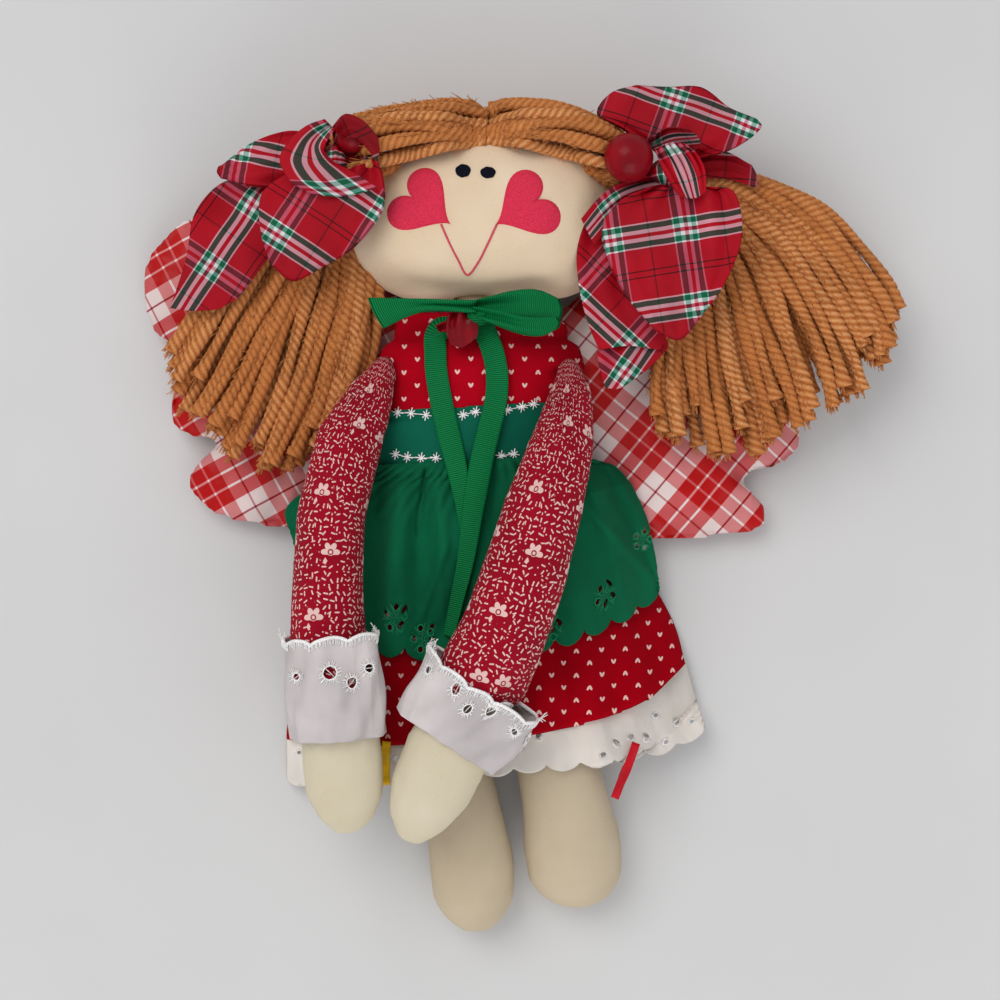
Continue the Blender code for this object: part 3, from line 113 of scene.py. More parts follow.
def make_light():
    for name, (place, size, power, tint) in LAMPS.items():
        data = bpy.data.lights.new(name, "AREA")
        data.energy, data.size, data.color = power, size, tint
        lamp = bpy.data.objects.new(name, data)
        lamp.location = place
        lamp.rotation_euler = (LAMP_AIM - Vector(place)).to_track_quat("-Z", "Y").to_euler()
        bpy.context.scene.collection.objects.link(lamp)
    world = bpy.data.worlds.new("room")
    world.use_nodes = True
    room = world.node_tree.nodes["Background"].inputs
    room["Color"].default_value, room["Strength"].default_value = ROOM_TINT, ROOM_STRENGTH
    bpy.context.scene.world = world
    bpy.context.scene.view_settings.view_transform = "Standard"


# Finishes

def by_node(operation):
    """An operator that adds a Math node to the material of its first value."""
    return lambda first, *others: first.finish.sum(operation, first, *others)


class Value:
    """A number on its way through a material's nodes, which takes plain arithmetic."""

    def __init__(self, finish, socket):
        self.finish, self.socket = finish, socket

    __add__, __sub__, __mul__ = by_node("ADD"), by_node("SUBTRACT"), by_node("MULTIPLY")
    __truediv__, __pow__, __abs__ = by_node("DIVIDE"), by_node("POWER"), by_node("ABSOLUTE")
    __lt__, __gt__ = by_node("LESS_THAN"), by_node("GREATER_THAN")

    def __rsub__(self, other):
        return self.finish.sum("SUBTRACT", other, self)


class Finish:
    """One procedural material, with short calls for the nodes that it is made of."""

    def __init__(self, name, roughness=0.9, sheen=0.0, sheen_tint=(1, 1, 1, 1), coat=0.0, gloss=0.12):
        self.material = bpy.data.materials.new(name)
        self.material.use_nodes = True
        self.nodes = self.material.node_tree.nodes
        self.shader = self.nodes["Principled BSDF"].inputs
        for socket, value in (("Roughness", roughness), ("Sheen Weight", sheen), ("Sheen Roughness", 0.4),
                              ("Sheen Tint", sheen_tint), ("Specular IOR Level", gloss),
                              ("Coat Weight", coat), ("Coat Roughness", 0.12)):
            self.shader[socket].default_value = value

    def join(self, value, socket):
        """Feeds a socket from another one, or sets it to a number or colour."""
        value = value.socket if isinstance(value, Value) else value
        if isinstance(value, bpy.types.NodeSocket):
            self.material.node_tree.links.new(value, socket)
        elif value is not None:
            socket.default_value = value

    def node(self, kind, settings, *fed, **named):
        """Adds a node with these settings, and feeds its inputs in turn or by name."""
        node = self.nodes.new("ShaderNode" + kind)
        for name, value in settings.items():
            setattr(node, name, value)
        for value, socket in zip(fed, node.inputs):
            self.join(value, socket)
        for name, value in named.items():
            self.join(value, node.inputs[name])
        return node

    def place(self):
        """Object coordinates."""
        return self.node("TexCoord", {}).outputs["Object"]

    def cloth(self):
        """The piece's own flat pattern, in metres, from its UV map."""
        return self.node("UVMap", {"uv_map": "Cloth"}).outputs[0]

    def share(self, name):
        """A number that the mesh carries at each of its points."""
        return self.node("Attribute", {"attribute_name": name}).outputs["Fac"]

    def parts(self, vector):
        return [Value(self, socket) for socket in self.node("SeparateXYZ", {}, vector).outputs]

    def sum(self, operation, *values):
        return Value(self, self.node("Math", {"operation": operation}, *values).outputs[0])

    def vector_sum(self, operation, *values, **named):
        return self.node("VectorMath", {"operation": operation}, *values, **named).outputs["Vector"]

    def clouds(self, vector, scale, detail):
        return self.node("TexNoise", {}, Vector=vector, Scale=scale, Detail=detail).outputs["Fac"]

    def cells(self, vector, spread):
        return self.node("TexVoronoi", {}, Vector=vector, Scale=1.0, Randomness=spread).outputs

    def ramp(self, value, stops, step=False):
        node = self.node("ValToRGB", {}, Fac=value)
        band = node.color_ramp
        band.interpolation = "CONSTANT" if step else "LINEAR"
        while len(band.elements) < len(stops):
            band.elements.new(1.0)
        for element, (at, tone) in zip(band.elements, stops):
            element.position, element.color = at, tone
        return node.outputs["Color"]

    def mottle(self, vector, scale, detail, dark, light, low=0.3, high=0.7):
        """Cloudy patches from one tone to another."""
        return self.ramp(self.clouds(vector, scale, detail), [(low, dark), (high, light)])

    def blend(self, share, first, second, way="MIX"):
        node = self.node("Mix", {"data_type": "RGBA", "blend_type": way}, share)
        self.join(first, node.inputs[6])
        self.join(second, node.inputs[7])
        return node.outputs[2]

    def paint(self, tone):
        self.join(tone, self.shader["Base Color"])

    def raised(self, height, distance, strength=1.0):
        """Adds relief of this height under whatever relief there is."""
        socket = self.shader["Normal"]
        under = socket.links[0].from_socket if socket.is_linked else None
        bump = self.node("Bump", {}, Strength=strength, Distance=distance, Height=height, Normal=under)
        self.join(bump.outputs[0], socket)

    def bumps(self, vector, scale, detail, distance, strength):
        """Relief in cloudy patches."""
        self.raised(self.clouds(vector, scale, detail), distance, strength)

    def weave(self, vector, pitch=0.00045, depth=0.00006):
        """Over and under threads, this far apart."""
        across, along = self.parts(vector)[:2]
        turns = TURN / pitch
        self.raised(self.sum("SINE", across * turns) * self.sum("SINE", along * turns), depth)


def plain_muslin(name, dark, light):
    f = Finish(name, 0.92, sheen=0.05, gloss=0.2)
    where = f.place()
    tone = f.mottle(where, 24, 3, colour(dark), colour(light))
    flecks = f.mottle(where, 900, 2, grey(0), grey(1), 0.66, 0.74)
    f.paint(f.blend(f.sum("MULTIPLY", flecks, 0.28), tone, colour("#B39262")))
    f.weave(where)
    f.bumps(where, 60, 3, 0.0012, 0.5)
    return f.material


def yarn():
    """Painted shade between the plies and painted highlight on their ridges, by a 0-1 number on the mesh."""
    f = Finish("yarn", 0.95, sheen=0.25, sheen_tint=colour("#F0A860"))
    where = f.place()
    tone = f.ramp(f.share("ply"), [(0.0, colour("#A46334")), (0.4, colour("#BC703A")),
                                   (0.8, colour("#C67D45")), (1.0, colour("#DEA06A"))])
    # Cloudy flecks: partly the yarn's own tone, partly painted glints of its fuzz
    f.paint(f.blend(1.0, tone, f.mottle(where, 2000, 3, grey(0.74), grey(1.16), 0.32), "MULTIPLY"))
    f.bumps(where, 1900, 3, 0.0007, 0.6)
    return f.material


def stripes(f, value, period, bands, ground):
    """Bands of colour across a cloth, each (start, end, tone) as a share of the period from -0.5 to 0.5."""
    turn = f.sum("FRACT", value / period + 0.5)
    stops = {0.0: (0.0, ground)}
    for start, end, tone in bands:
        for at, dye in ((start + 0.5, tone), (end + 0.5, ground)):
            stops[round(at, 4)] = (at, dye)
    return f.ramp(turn, list(stops.values()), step=True)


def plaid(f, share, period, ground, strong, weak, patches, dark, light):
    """Paints stripes across and along the cloth, mixed as threads mix, and shaded between two greys."""
    across, along = f.parts(f.cloth())[:2]
    crossing = stripes(f, across, period, strong, ground), stripes(f, along, period, weak, ground)
    mixed = f.blend(share, *crossing)
    dyed = f.node("Gamma", {}, Color=mixed, Gamma=2.2).outputs[0]
    f.paint(f.blend(1.0, dyed, f.mottle(f.place(), patches, 2, grey(dark), grey(light)), "MULTIPLY"))


SETT = 0.0308
TARTAN_RED, TARTAN_DARK = (0.73, 0.0, 0.13, 1), (0.10, 0.0, 0.03, 1)
TARTAN_GREEN, TARTAN_WHITE = (0.0, 0.40, 0.27, 1), (0.95, 0.95, 0.94, 1)
TARTAN_HALF = ((0.0008, 0.0023, TARTAN_WHITE), (0.0023, 0.0045, TARTAN_GREEN), (0.0045, 0.0051, TARTAN_WHITE))


def tartan(name, light):
    """Red with a green band between white ones, and thin dark lines half way between two bands."""
    f = Finish(name, 0.5, gloss=0.14)
    flat = f.cloth()
    hair, off = 0.0005 / SETT, 0.0010 / SETT
    bands = [(-end / SETT, -start / SETT, tone) for start, end, tone in reversed(TARTAN_HALF)]
    bands += [(start / SETT, end / SETT, tone) for start, end, tone in TARTAN_HALF]
    strong = [(-0.5 + off, -0.5 + off + hair, TARTAN_DARK), *bands,
              (0.5 - off - hair, 0.5 - off, TARTAN_DARK)]
    weak = [(-0.5, -0.5 + hair, TARTAN_DARK), *bands]
    # `light` below 1 darkens the whole cloth, as painted shade for the insides of loops
    plaid(f, 0.36, SETT, TARTAN_RED, strong, weak, 45, 0.60 * light, 0.84 * light)
    f.bumps(flat, 70, 2, 0.0012, 0.35)
    f.weave(flat, 0.00035, 0.00003)
    return f.material


CHECK = 0.032
CHECK_RED, CHECK_WHITE, CHECK_THREAD = (0.71, 0.0, 0.02, 1), (0.90, 0.82, 0.80, 1), (0.50, 0.0, 0.08, 1)


def check_satin():
    """Red and white check with white window-pane lines in the red and a dark line in the white."""
    f = Finish("check_satin", 0.42, gloss=0.2)
    line, edge, pane = 0.00048 / CHECK, 0.295, 0.0985
    bands = [(-0.5, -0.5 + line, CHECK_THREAD), (-0.5 + line, -edge, CHECK_WHITE),
             (-pane - line, -pane + line, CHECK_WHITE), (pane - line, pane + line, CHECK_WHITE),
             (edge, 0.5 - line, CHECK_WHITE), (0.5 - line, 0.5, CHECK_THREAD)]
    plaid(f, 0.40, CHECK, CHECK_RED, bands, bands, 30, 0.76, 0.98)
    f.bumps(f.place(), 75, 3, 0.0022, 0.45)
    return f.material


HEART_LEAN = math.radians(27)
HEART_LOBE = (0.00108, 0.00046)      # half length and half width of a heart's lobe
HEART_OFF = (0.0002, 0.00037)        # from the heart's middle to the lobe's, along and across the lobe


def heart_print(name, ground, column_gap, row_gap):
    """Small hearts in a zigzag, two columns the right way up and then two upside down."""
    f = Finish(name, 0.88, sheen=0.01, sheen_tint=colour(ground), gloss=0.03)
    flat = f.cloth()
    across, along = f.parts(flat)[:2]
    column = f.sum("FLOOR", across / column_gap)
    side = abs(across - (column + 0.5) * column_gap)
    moved = along + f.sum("PINGPONG", column, 1.0) * (row_gap * 0.5)
    row = f.sum("FLOOR", moved / row_gap)
    pair = f.sum("PINGPONG", f.sum("FLOOR", column / 2.0), 1.0)
    y = (moved - (row + 0.5) * row_gap) * (pair * 2.0 - 1.0)
    up = side * math.sin(HEART_LEAN) + y * math.cos(HEART_LEAN)
    out = side * math.cos(HEART_LEAN) - y * math.sin(HEART_LEAN)
    lobe = ((up - HEART_OFF[0]) / HEART_LOBE[0]) ** 2.0 + ((out - HEART_OFF[1]) / HEART_LOBE[1]) ** 2.0 < 1.0
    tone = f.mottle(flat, 30, 3, colour(ground, 0.84), colour(ground, 1.1))
    f.paint(f.blend(lobe, tone, colour("#F0C4BA")))
    f.weave(flat)
    f.bumps(flat, 55, 3, 0.0016, 0.5)
    return f.material


DASH_GAP, FLOWER_GAP = 0.0026, 0.0235


def calico():
    """Dark red with scattered cream dashes and, now and then, a flower of six petals with its leaf."""
    f = Finish("calico", 0.86, sheen=0.03)
    flat = f.cloth()

    def spots(gap, spread, shift):
        """Scattered places, this far apart: how far off the nearest one is, in gaps, and its chances."""
        net = f.vector_sum("ADD", f.vector_sum("SCALE", flat, Scale=1 / gap), (shift, shift * 0.7, 0))
        cells = f.cells(net, spread)
        return f.vector_sum("SUBTRACT", net, cells["Position"]), f.parts(cells["Color"])

    away, chance = spots(DASH_GAP, 0.60, 0.0)
    turned = f.node("VectorRotate", {"rotation_type": "Z_AXIS"}, Vector=away, Angle=chance[0] * TURN)
    x, y = f.parts(turned.outputs[0])[:2]
    length = f.sum("MULTIPLY_ADD", chance[1] > 0.25, 0.25, 0.02)
    over = f.sum("MAXIMUM", abs(x) - length, 0.0)
    dash = 0.113 - f.sum("SQRT", over ** 2.0 + y ** 2.0) > 0.0

    away, chance = spots(FLOWER_GAP, 0.55, 3.3)
    x, y = f.parts(away)[:2]
    y = y * -1.0
    reach = f.sum("SQRT", x ** 2.0 + y ** 2.0)
    angle = f.sum("ARCTAN2", y, x)
    petals = f.sum("MULTIPLY_ADD", abs(f.sum("COSINE", angle * 3.0)), 0.075, 0.095)
    flower = (reach < petals) * f.sum("MAXIMUM", y > -0.045, reach < 0.062)
    ring = abs(reach - 0.040) < 0.011
    leaf = abs((x - 0.09) * 1.6) + abs(y + 0.15) < 0.062
    dash = dash * (1.0 - (reach < 0.20))
    mark = f.sum("MAXIMUM", f.sum("MAXIMUM", dash, leaf), flower * (1.0 - ring))
    tone = f.mottle(flat, 30, 3, colour("#8C041A"), colour("#A60724"))
    f.paint(f.blend(mark * 0.88, tone, colour("#F4CEC6")))
    f.weave(flat)
    f.bumps(flat, 60, 3, 0.0012, 0.5)
    return f.material


def dyed_cloth(name, tone, rough=0.85, fibre=0.03, ripple=0.4):
    """Plain cotton of one colour, in cloudy patches a little darker and lighter."""
    f = Finish(name, rough, sheen=fibre, sheen_tint=colour(tone))
    flat = f.cloth()
    f.paint(f.mottle(f.place(), 28, 3, colour(tone, 0.8), colour(tone, 1.15)))
    f.weave(flat)
    f.bumps(flat, 60, 3, 0.0016, ripple)
    return f.material


GROSGRAIN_RIB = 0.00085


def grosgrain():
    """Ribbon with ribs across it, painted darker in the grooves between them as shade."""
    f = Finish("grosgrain", 0.6, gloss=0.1)
    along = f.parts(f.cloth())[1]
    rib = f.sum("MULTIPLY_ADD", f.sum("COSINE", along * (TURN / GROSGRAIN_RIB)), 0.5, 0.5)
    f.paint(f.blend(rib, colour("#03502A"), colour("#078546")))
    f.raised(rib, 0.00022)
    return f.material


def felt(name, tone, glint):
    f = Finish(name, 0.95, sheen=0.5, sheen_tint=colour(glint))
    where = f.place()
    stops = [(0.3, colour(tone, 0.75)), (0.68, colour(tone, 1.04)), (0.95, colour(glint))]
    f.paint(f.ramp(f.clouds(where, 1500, 3), stops))
    f.bumps(where, 1300, 3, 0.0006, 0.7)
    return f.material


def mottled(name, tones, relief, **look):
    """A plain surface: `tones` are those of mottle, and `relief` those of bumps."""
    f = Finish(name, **look)
    where = f.place()
    f.paint(f.mottle(where, *tones))
    f.bumps(where, *relief)
    return f.material


def satin(name, tone, rough=0.3):
    tones = (120, 2, colour(tone, 0.75), colour(tone, 1.2))
    return mottled(name, tones, (400, 2, 0.0003, 0.4), roughness=rough, gloss=0.18)


def thread(name, tone):
    tones = (2500, 2, colour(tone, 0.7), colour(tone, 1.1), 0.35, 0.65)
    return mottled(name, tones, (4000, 1, 0.0002, 0.6), roughness=0.7, sheen=0.2)


# By name, without the number that Blender adds where the CAD model has a material of that name
FINISHES = {material.name.split(".")[0]: material for material in (
    plain_muslin("muslin", "#E4CAA8", "#EFD9BB"), plain_muslin("hand_muslin", "#D2C6A8", "#DED3BA"),
    # The legs' muslin is the same cloth, painted darker as shade
    plain_muslin("leg_muslin", "#BFAE92", "#CDBCA0"), yarn(),
    # The second tartan is the same cloth painted darker, as shade inside the bows' loops
    tartan("tartan", 1.0), tartan("tartan_inside", 0.58), calico(), check_satin(),
    heart_print("bodice_hearts", "#B4061C", 0.00555, 0.0110),
    heart_print("skirt_hearts", "#A40214", 0.0052, 0.0100),
    dyed_cloth("waist_green", "#07614A"), dyed_cloth("apron_green", "#05613F", ripple=0.25),
    dyed_cloth("white_eyelet", "#D6CDCB", 0.9, 0.1), dyed_cloth("petticoat_cotton", "#E4DCD2", 0.9, 0.1),
    thread("apron_thread", "#0A8A58"), thread("white_thread", "#FCFAF7"), thread("mouth_thread", "#D4505F"),
    grosgrain(), felt("cheek_felt", "#DE3450", "#F07A8A"), felt("eye_felt", "#0C0F1C", "#20263A"),
    satin("red_satin", "#7A0510"), satin("yellow_satin", "#E8B800", 0.45),
    satin("ribbon_red", "#B8081C", 0.5),
    mottled("painted_wood", (90, 3, colour("#70040F"), colour("#8E0616")), (260, 2, 0.0002, 0.4),
            roughness=0.45, coat=0.12, gloss=0.08),
    mottled("table_cloth", (6, 3, colour("#CBCAC8"), colour("#D1D0CE")), (30, 4, 0.002, 0.15),
            roughness=0.95),
)}

# Mesh helpers

THINNEST_SHEET = 0.010       # the flat width that as_sheet compares a cloth with; nothing is done with the result


@contextmanager
def edited(mesh):
    """The mesh as a bmesh, written back afterwards."""
    bm = bmesh.new()
    bm.from_mesh(mesh)
    yield bm
    bm.to_mesh(mesh)
    bm.free()


def node_mesh(node):
    """A merged copy of a CAD node's mesh."""
    bm = bmesh.new()
    bm.from_mesh(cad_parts[node].data)
    bmesh.ops.remove_doubles(bm, verts=bm.verts, dist=1e-6)
    bmesh.ops.recalc_face_normals(bm, faces=bm.faces)
    return bm


def surface_of(*pieces):
    """What a ray or a nearest point can be asked of, over these objects."""
    bm = bmesh.new()
    for piece in pieces:
        bm.from_mesh(piece.data)
    return BVHTree.FromBMesh(bm)


def node_surface(node):
    return surface_of(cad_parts[node])


def top_of(*names):
    """What lies uppermost over a place, among these pieces."""
    return surface_of(*[bpy.data.objects[name] for name in names])


def make_smooth(mesh):
    mesh.polygons.foreach_set("use_smooth", [True] * len(mesh.polygons))


def new_piece(bm, name, wear, replaces=(), points=None, flat=None, rolled=False):
    """Turns a bmesh into a finished object.

    `wear` is the body that it rides on, its material slot, which is not used, and its finish. `points` says
    where its points go, `flat` where they are on the flat cloth, and a rolled-up net gets its two edges
    joined.
    """
    body, slot, finish = wear
    mesh = bpy.data.meshes.new(name)
    bm.to_mesh(mesh)
    bm.free()
    piece = bpy.data.objects.new(name, mesh)
    bpy.context.scene.collection.objects.link(piece)
    mesh.materials.append(FINISHES[finish])
    make_smooth(mesh)
    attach(piece, body)
    if replaces:
        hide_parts(*replaces)
    if points is not None:
        set_points(mesh, points)
    if flat is not None:
        set_cloth_map(mesh, flat)
    if rolled:
        close_round(mesh)
    return piece


def settle(piece):
    """Applies a piece's modifiers."""
    evaluated = piece.evaluated_get(bpy.context.evaluated_depsgraph_get())
    mesh = bpy.data.meshes.new_from_object(evaluated)
    piece.modifiers.clear()
    old, piece.data = piece.data, mesh
    bpy.data.meshes.remove(old)
    return piece


def rounded(piece, levels):
    finer = piece.modifiers.new("rounding", "SUBSURF")
    finer.levels = finer.render_levels = levels
    settle(piece)
    make_smooth(piece.data)


def thicken(piece, depth=0.0006):
    wall = piece.modifiers.new("cloth", "SOLIDIFY")
    wall.thickness, wall.offset = depth, -1.0
    return settle(piece)


def as_sheet(piece, width=None, length=None, depth=0.0006):
    """Gives a cloth its wall. Its flat size, one side given and the other from its area, is worked out but
    not used.
    """
    area = sum(p.area for p in piece.data.polygons)
    thicken(piece, depth)
    flat = (width or area / length, length or area / width)
    min(flat) >= THINNEST_SHEET
    return piece


def points_of(mesh):
    flat = np.empty(len(mesh.vertices) * 3)
    mesh.vertices.foreach_get("co", flat)
    return flat.reshape(-1, 3)


def set_points(mesh, points):
    mesh.vertices.foreach_set("co", np.asarray(points, float).ravel())
    mesh.update()


def set_cloth_map(mesh, flat):
    """Stores each point's place on the flat cloth as the piece's UV map."""
    layer = mesh.uv_layers.new(name="Cloth")
    corners = np.empty(len(mesh.loops), int)
    mesh.loops.foreach_get("vertex_index", corners)
    layer.data.foreach_set("uv", np.asarray(flat, float)[corners].ravel())


def set_ply_shade(mesh, values):
    """Stores the number that sets the yarn's painted shade and painted highlight, at each point."""
    share = mesh.attributes.new("ply", "FLOAT", "POINT")
    share.data.foreach_set("value", values.astype(np.float32))


def close_round(mesh):
    """Joins the two edges of a net that was rolled up."""
    with edited(mesh) as bm:
        bmesh.ops.remove_doubles(bm, verts=bm.verts, dist=1e-5)
        bmesh.ops.recalc_face_normals(bm, faces=bm.faces)


def smooth_points(bm, factor):
    bmesh.ops.smooth_vert(bm, verts=bm.verts, factor=factor,
                          use_axis_x=True, use_axis_y=True, use_axis_z=True)


def grid(across, along):
    """A flat net of this many cells, with each point's shares across and along it, from 0 to 1."""
    bm = bmesh.new()
    bmesh.ops.create_grid(bm, x_segments=across, y_segments=along, size=0.5)
    bm.verts.index_update()
    shares = np.array([(v.co.x + 0.5, v.co.y + 0.5) for v in bm.verts])
    return bm, shares


def on_line(points, share):
    """Points along a smooth line through these, at shares of its length (a Catmull-Rom line)."""
    points = np.asarray(points, float)
    steps = np.linalg.norm(np.diff(points, axis=0), axis=1)
    knots = np.concatenate([[0], np.cumsum(steps)]) / max(steps.sum(), 1e-9)
    share = np.clip(np.asarray(share, float), 0, 1)
    k = np.clip(np.searchsorted(knots, share, side="right") - 1, 0, len(points) - 2)
    before, after = np.maximum(k - 1, 0), np.minimum(k + 2, len(points) - 1)
    gap = (knots[k + 1] - knots[k])[..., None]
    t = (share - knots[k])[..., None] / np.maximum(gap, 1e-9)
    p1, p2 = points[k], points[k + 1]
    m1 = (p2 - points[before]) / np.maximum(knots[k + 1] - knots[before], 1e-9)[..., None] * gap
    m2 = (points[after] - p1) / np.maximum(knots[after] - knots[k], 1e-9)[..., None] * gap
    return ((2 * t ** 3 - 3 * t ** 2 + 1) * p1 + (t ** 3 - 2 * t ** 2 + t) * m1
            + (-2 * t ** 3 + 3 * t ** 2) * p2 + (t ** 3 - t ** 2) * m2)


def line_length(points):
    return float(np.linalg.norm(np.diff(points, axis=0), axis=1).sum())


def edges_of(first, last, start=(), end=()):
    """A sheet's four edges: two given whole, and the two that join their ends by what lies between."""
    return first, last, (first[0], *start, last[0]), (first[-1], *end, last[-1])


def patch(shares, first, last, start, end):
    """Points of a four-sided sheet: `first` and `last` run along it, `start` and `end` across."""
    u, v = shares[:, 0:1], shares[:, 1:2]
    a, b = on_line(first, shares[:, 1]), on_line(last, shares[:, 1])
    c, d = on_line(start, shares[:, 0]), on_line(end, shares[:, 0])
    near = (1 - u) * np.asarray(start[0], float) + u * np.asarray(start[-1], float)
    far = (1 - u) * np.asarray(end[0], float) + u * np.asarray(end[-1], float)
    return (1 - u) * a + u * b + (1 - v) * (c - near) + v * (d - far)


def ripples(points, scale, height, seed):
    """Smooth unevenness of the hand-made kind, at these points."""
    return np.array([noise.noise(Vector(p) * scale + Vector((seed, seed, seed))) for p in points]) * height


def turned(points, centre, degrees):
    """Where these points are on a flat cloth that is centred here and turned by this."""
    a = math.radians(degrees)
    x, y = points[:, 0] - centre[0], points[:, 1] - centre[1]
    return np.column_stack([x * math.cos(a) + y * math.sin(a), y * math.cos(a) - x * math.sin(a)])


def round_about(x, y, angle, reach):
    """The place this far from (x, y) at this angle."""
    return x + math.cos(angle) * reach, y + math.sin(angle) * reach


def drop(tree, points, lift, start=0.2):
    """Lets points down onto a surface, or beside its nearest point where there is nothing under them."""
    out = np.array(points, float)
    for i, p in enumerate(out):
        hit = tree.ray_cast(Vector((p[0], p[1], start)), Vector((0, 0, -1)))[0]
        if hit is None:
            hit = tree.find_nearest(Vector((p[0], p[1], 0.02)))[0]
        out[i, 2] = hit.z + lift
    return out


def across_line(line, share, near):
    """The two directions across a line at these shares of it."""
    t = on_line(line, np.clip(share + near, 0, 1)) - on_line(line, np.clip(share - near, 0, 1))
    t /= np.maximum(np.linalg.norm(t, axis=1, keepdims=True), 1e-12)
    up = np.array([0, 0, 1.0]) - t * t[:, 2:3]
    up /= np.maximum(np.linalg.norm(up, axis=1, keepdims=True), 1e-9)
    return np.cross(t, up), up


def nets(sides, counts):
    """Separate nets in one mesh, each `sides` wide, with its own number of steps and two end rows.

    Gives the mesh, and for each net its points' numbers, their shares round it, and their rows.
    """
    rows = np.array(counts) + 3
    firsts = np.concatenate([[0], np.cumsum(rows)])
    bm, shares = grid(sides, int(firsts[-1]) - 1)
    row = np.rint(shares[:, 1] * (firsts[-1] - 1)).astype(int)
    net = np.searchsorted(firsts, row, side="right") - 1
    links = [face for face in bm.faces if len({net[v.index] for v in face.verts}) > 1]
    bmesh.ops.delete(bm, geom=links, context="FACES")
    order = np.argsort(net, kind="stable")
    parts = []
    for first, last in zip(firsts[:-1], firsts[1:]):
        mine = order[first * (sides + 1):last * (sides + 1)]
        parts.append((mine, shares[mine, 0], row[mine] - first))
    return bm, parts


def threads(lines, sizes, name, wear, steps, sides):
    """Round threads along these lines, each a rolled-up net with its ends drawn shut."""
    bm, parts = nets(sides, [steps] * len(lines))
    points = np.empty((len(bm.verts), 3))
    for (mine, turn, row), line, size in zip(parts, lines, sizes):
        inner = np.clip((row - 1) / steps, 0, 1)
        shut = np.where((row == 0) | (row == steps + 2), 0.0, size)[:, None]
        side, up = across_line(line, inner, 0.02)
        turn = (turn * TURN)[:, None]
        points[mine] = on_line(line, inner) + (side * np.cos(turn) + up * np.sin(turn)) * shut
    return new_piece(bm, name, wear, points=points, rolled=True)


def way_round(start, end):
    """The direction from start to end, and the way out from that line at an angle from straight up."""
    axis = (end - start).normalized()
    up = (Vector((0, 0, 1)) - axis * axis.z).normalized()
    side = axis.cross(up)
    return axis, lambda angle: up * math.cos(angle) + side * math.sin(angle)


WRAP_RADIUS = 0.03           # the flat width of a wrapped cloth is that of this circle


def wrapped(node, start, end, around, along, before=0):
    """A net laid round a CAD node from start to end, with this many rows before its start.

    Each point is where a ray from outside meets the node. One that meets nothing takes its row's neighbour.
    """
    bm, shares = grid(around, along + before)
    shares[:, 1] = (shares[:, 1] * (along + before) - before) / along
    tree = node_surface(node)
    start, end = Vector(start), Vector(end)
    out = way_round(start, end)[1]
    ways, reach = [], []
    for u, v in shares:
        centre = start.lerp(end, max(v, 0.02 if before else 0.0))
        way = out((u - 0.5) * TURN)
        hit = tree.ray_cast(centre + way * 0.12, -way)[0]
        ways.append(way)
        reach.append(np.nan if hit is None else (hit - centre).length)
    reach = np.array(reach).reshape(-1, around + 1)
    for row in range(1, len(reach)):
        reach[row] = np.where(np.isnan(reach[row]), reach[row - 1], reach[row])
    for row in range(len(reach) - 2, -1, -1):
        reach[row] = np.where(np.isnan(reach[row]), reach[row + 1], reach[row])
    points = [start.lerp(end, v) + way * last for (u, v), way, last in zip(shares, ways, reach.ravel())]
    flat = np.column_stack([(shares[:, 0] - 0.5) * TURN * WRAP_RADIUS, shares[:, 1] * (end - start).length])
    return bm, np.array(points), flat


# Stuffed pieces

# The doll's own middle, from which part.py measures its pieces
DOLL = Vector((-0.01752, 0.05814, 0.0))

# Each sleeve's middle line: its place, its run, and its points as shares of the run. Then how far its end
# is drawn on into its cuff, by how much it fills out there, and how far it drifts to the doll's left
SLEEVES = {
    "left": ((-0.0400, 0.0030, 0.0435), (-0.0200, -0.1290, 0.0200),
             ((0.18, 0.07, 0.17), (0.61, 0.22, 0.50), (0.95, 0.46, 0.78), (1.00, 0.72, 0.93),
              (0.92, 1.00, 1.00)),
             (0.010, 0.10, 0.0)),
    "right": ((0.0360, 0.0020, 0.0450), (-0.0310, -0.1220, 0.0250),
              ((-0.03, 0.07, 0.20), (0.08, 0.23, 0.60), (0.31, 0.43, 0.92), (0.55, 0.66, 1.00),
               (0.85, 0.89, 0.96), (1.00, 1.00, 0.92)),
              (0.014, 0.24, 0.0022)),
}
# Each cuff's start and end, its width round the arm when flat, and its number of scallops
CUFFS = {
    "left": ((-0.0584, -0.1040, 0.0640), (-0.0559, -0.1460, 0.0610), 0.115, 7),
    "right": ((0.0045, -0.1236, 0.0690), (-0.0125, -0.1480, 0.0630), 0.145, 9),
}
# Where each wing's check is centred in the picture, and how it is turned
WINGS = {"left": ((164, 256), -62), "right": ((650, 439), -39)}
SWELL_FRAMES = 20
STUFFED_LOW, WING_LOW = 0.0004, 0.0003       # clear of the table


def swell(piece, cap):
    """Blows a piece up with Blender's Cloth, each point by the cap at most."""
    before = points_of(piece.data)
    cloth = piece.modifiers.new("stuffing", "CLOTH")
    cloth.settings.quality = 4
    cloth.settings.mass = 0.2
    cloth.settings.use_pressure = True
    cloth.settings.uniform_pressure_force = 4
    cloth.settings.effector_weights.gravity = 0
    cloth.point_cache.frame_start, cloth.point_cache.frame_end = 1, SWELL_FRAMES
    for now in range(1, SWELL_FRAMES + 1):
        bpy.context.scene.frame_set(now)
    settle(piece)
    bpy.context.scene.frame_set(1)
    moved = points_of(piece.data) - before
    far = np.linalg.norm(moved, axis=1, keepdims=True)
    set_points(piece.data, before + moved * np.minimum(1, cap / np.maximum(far, 1e-9)))


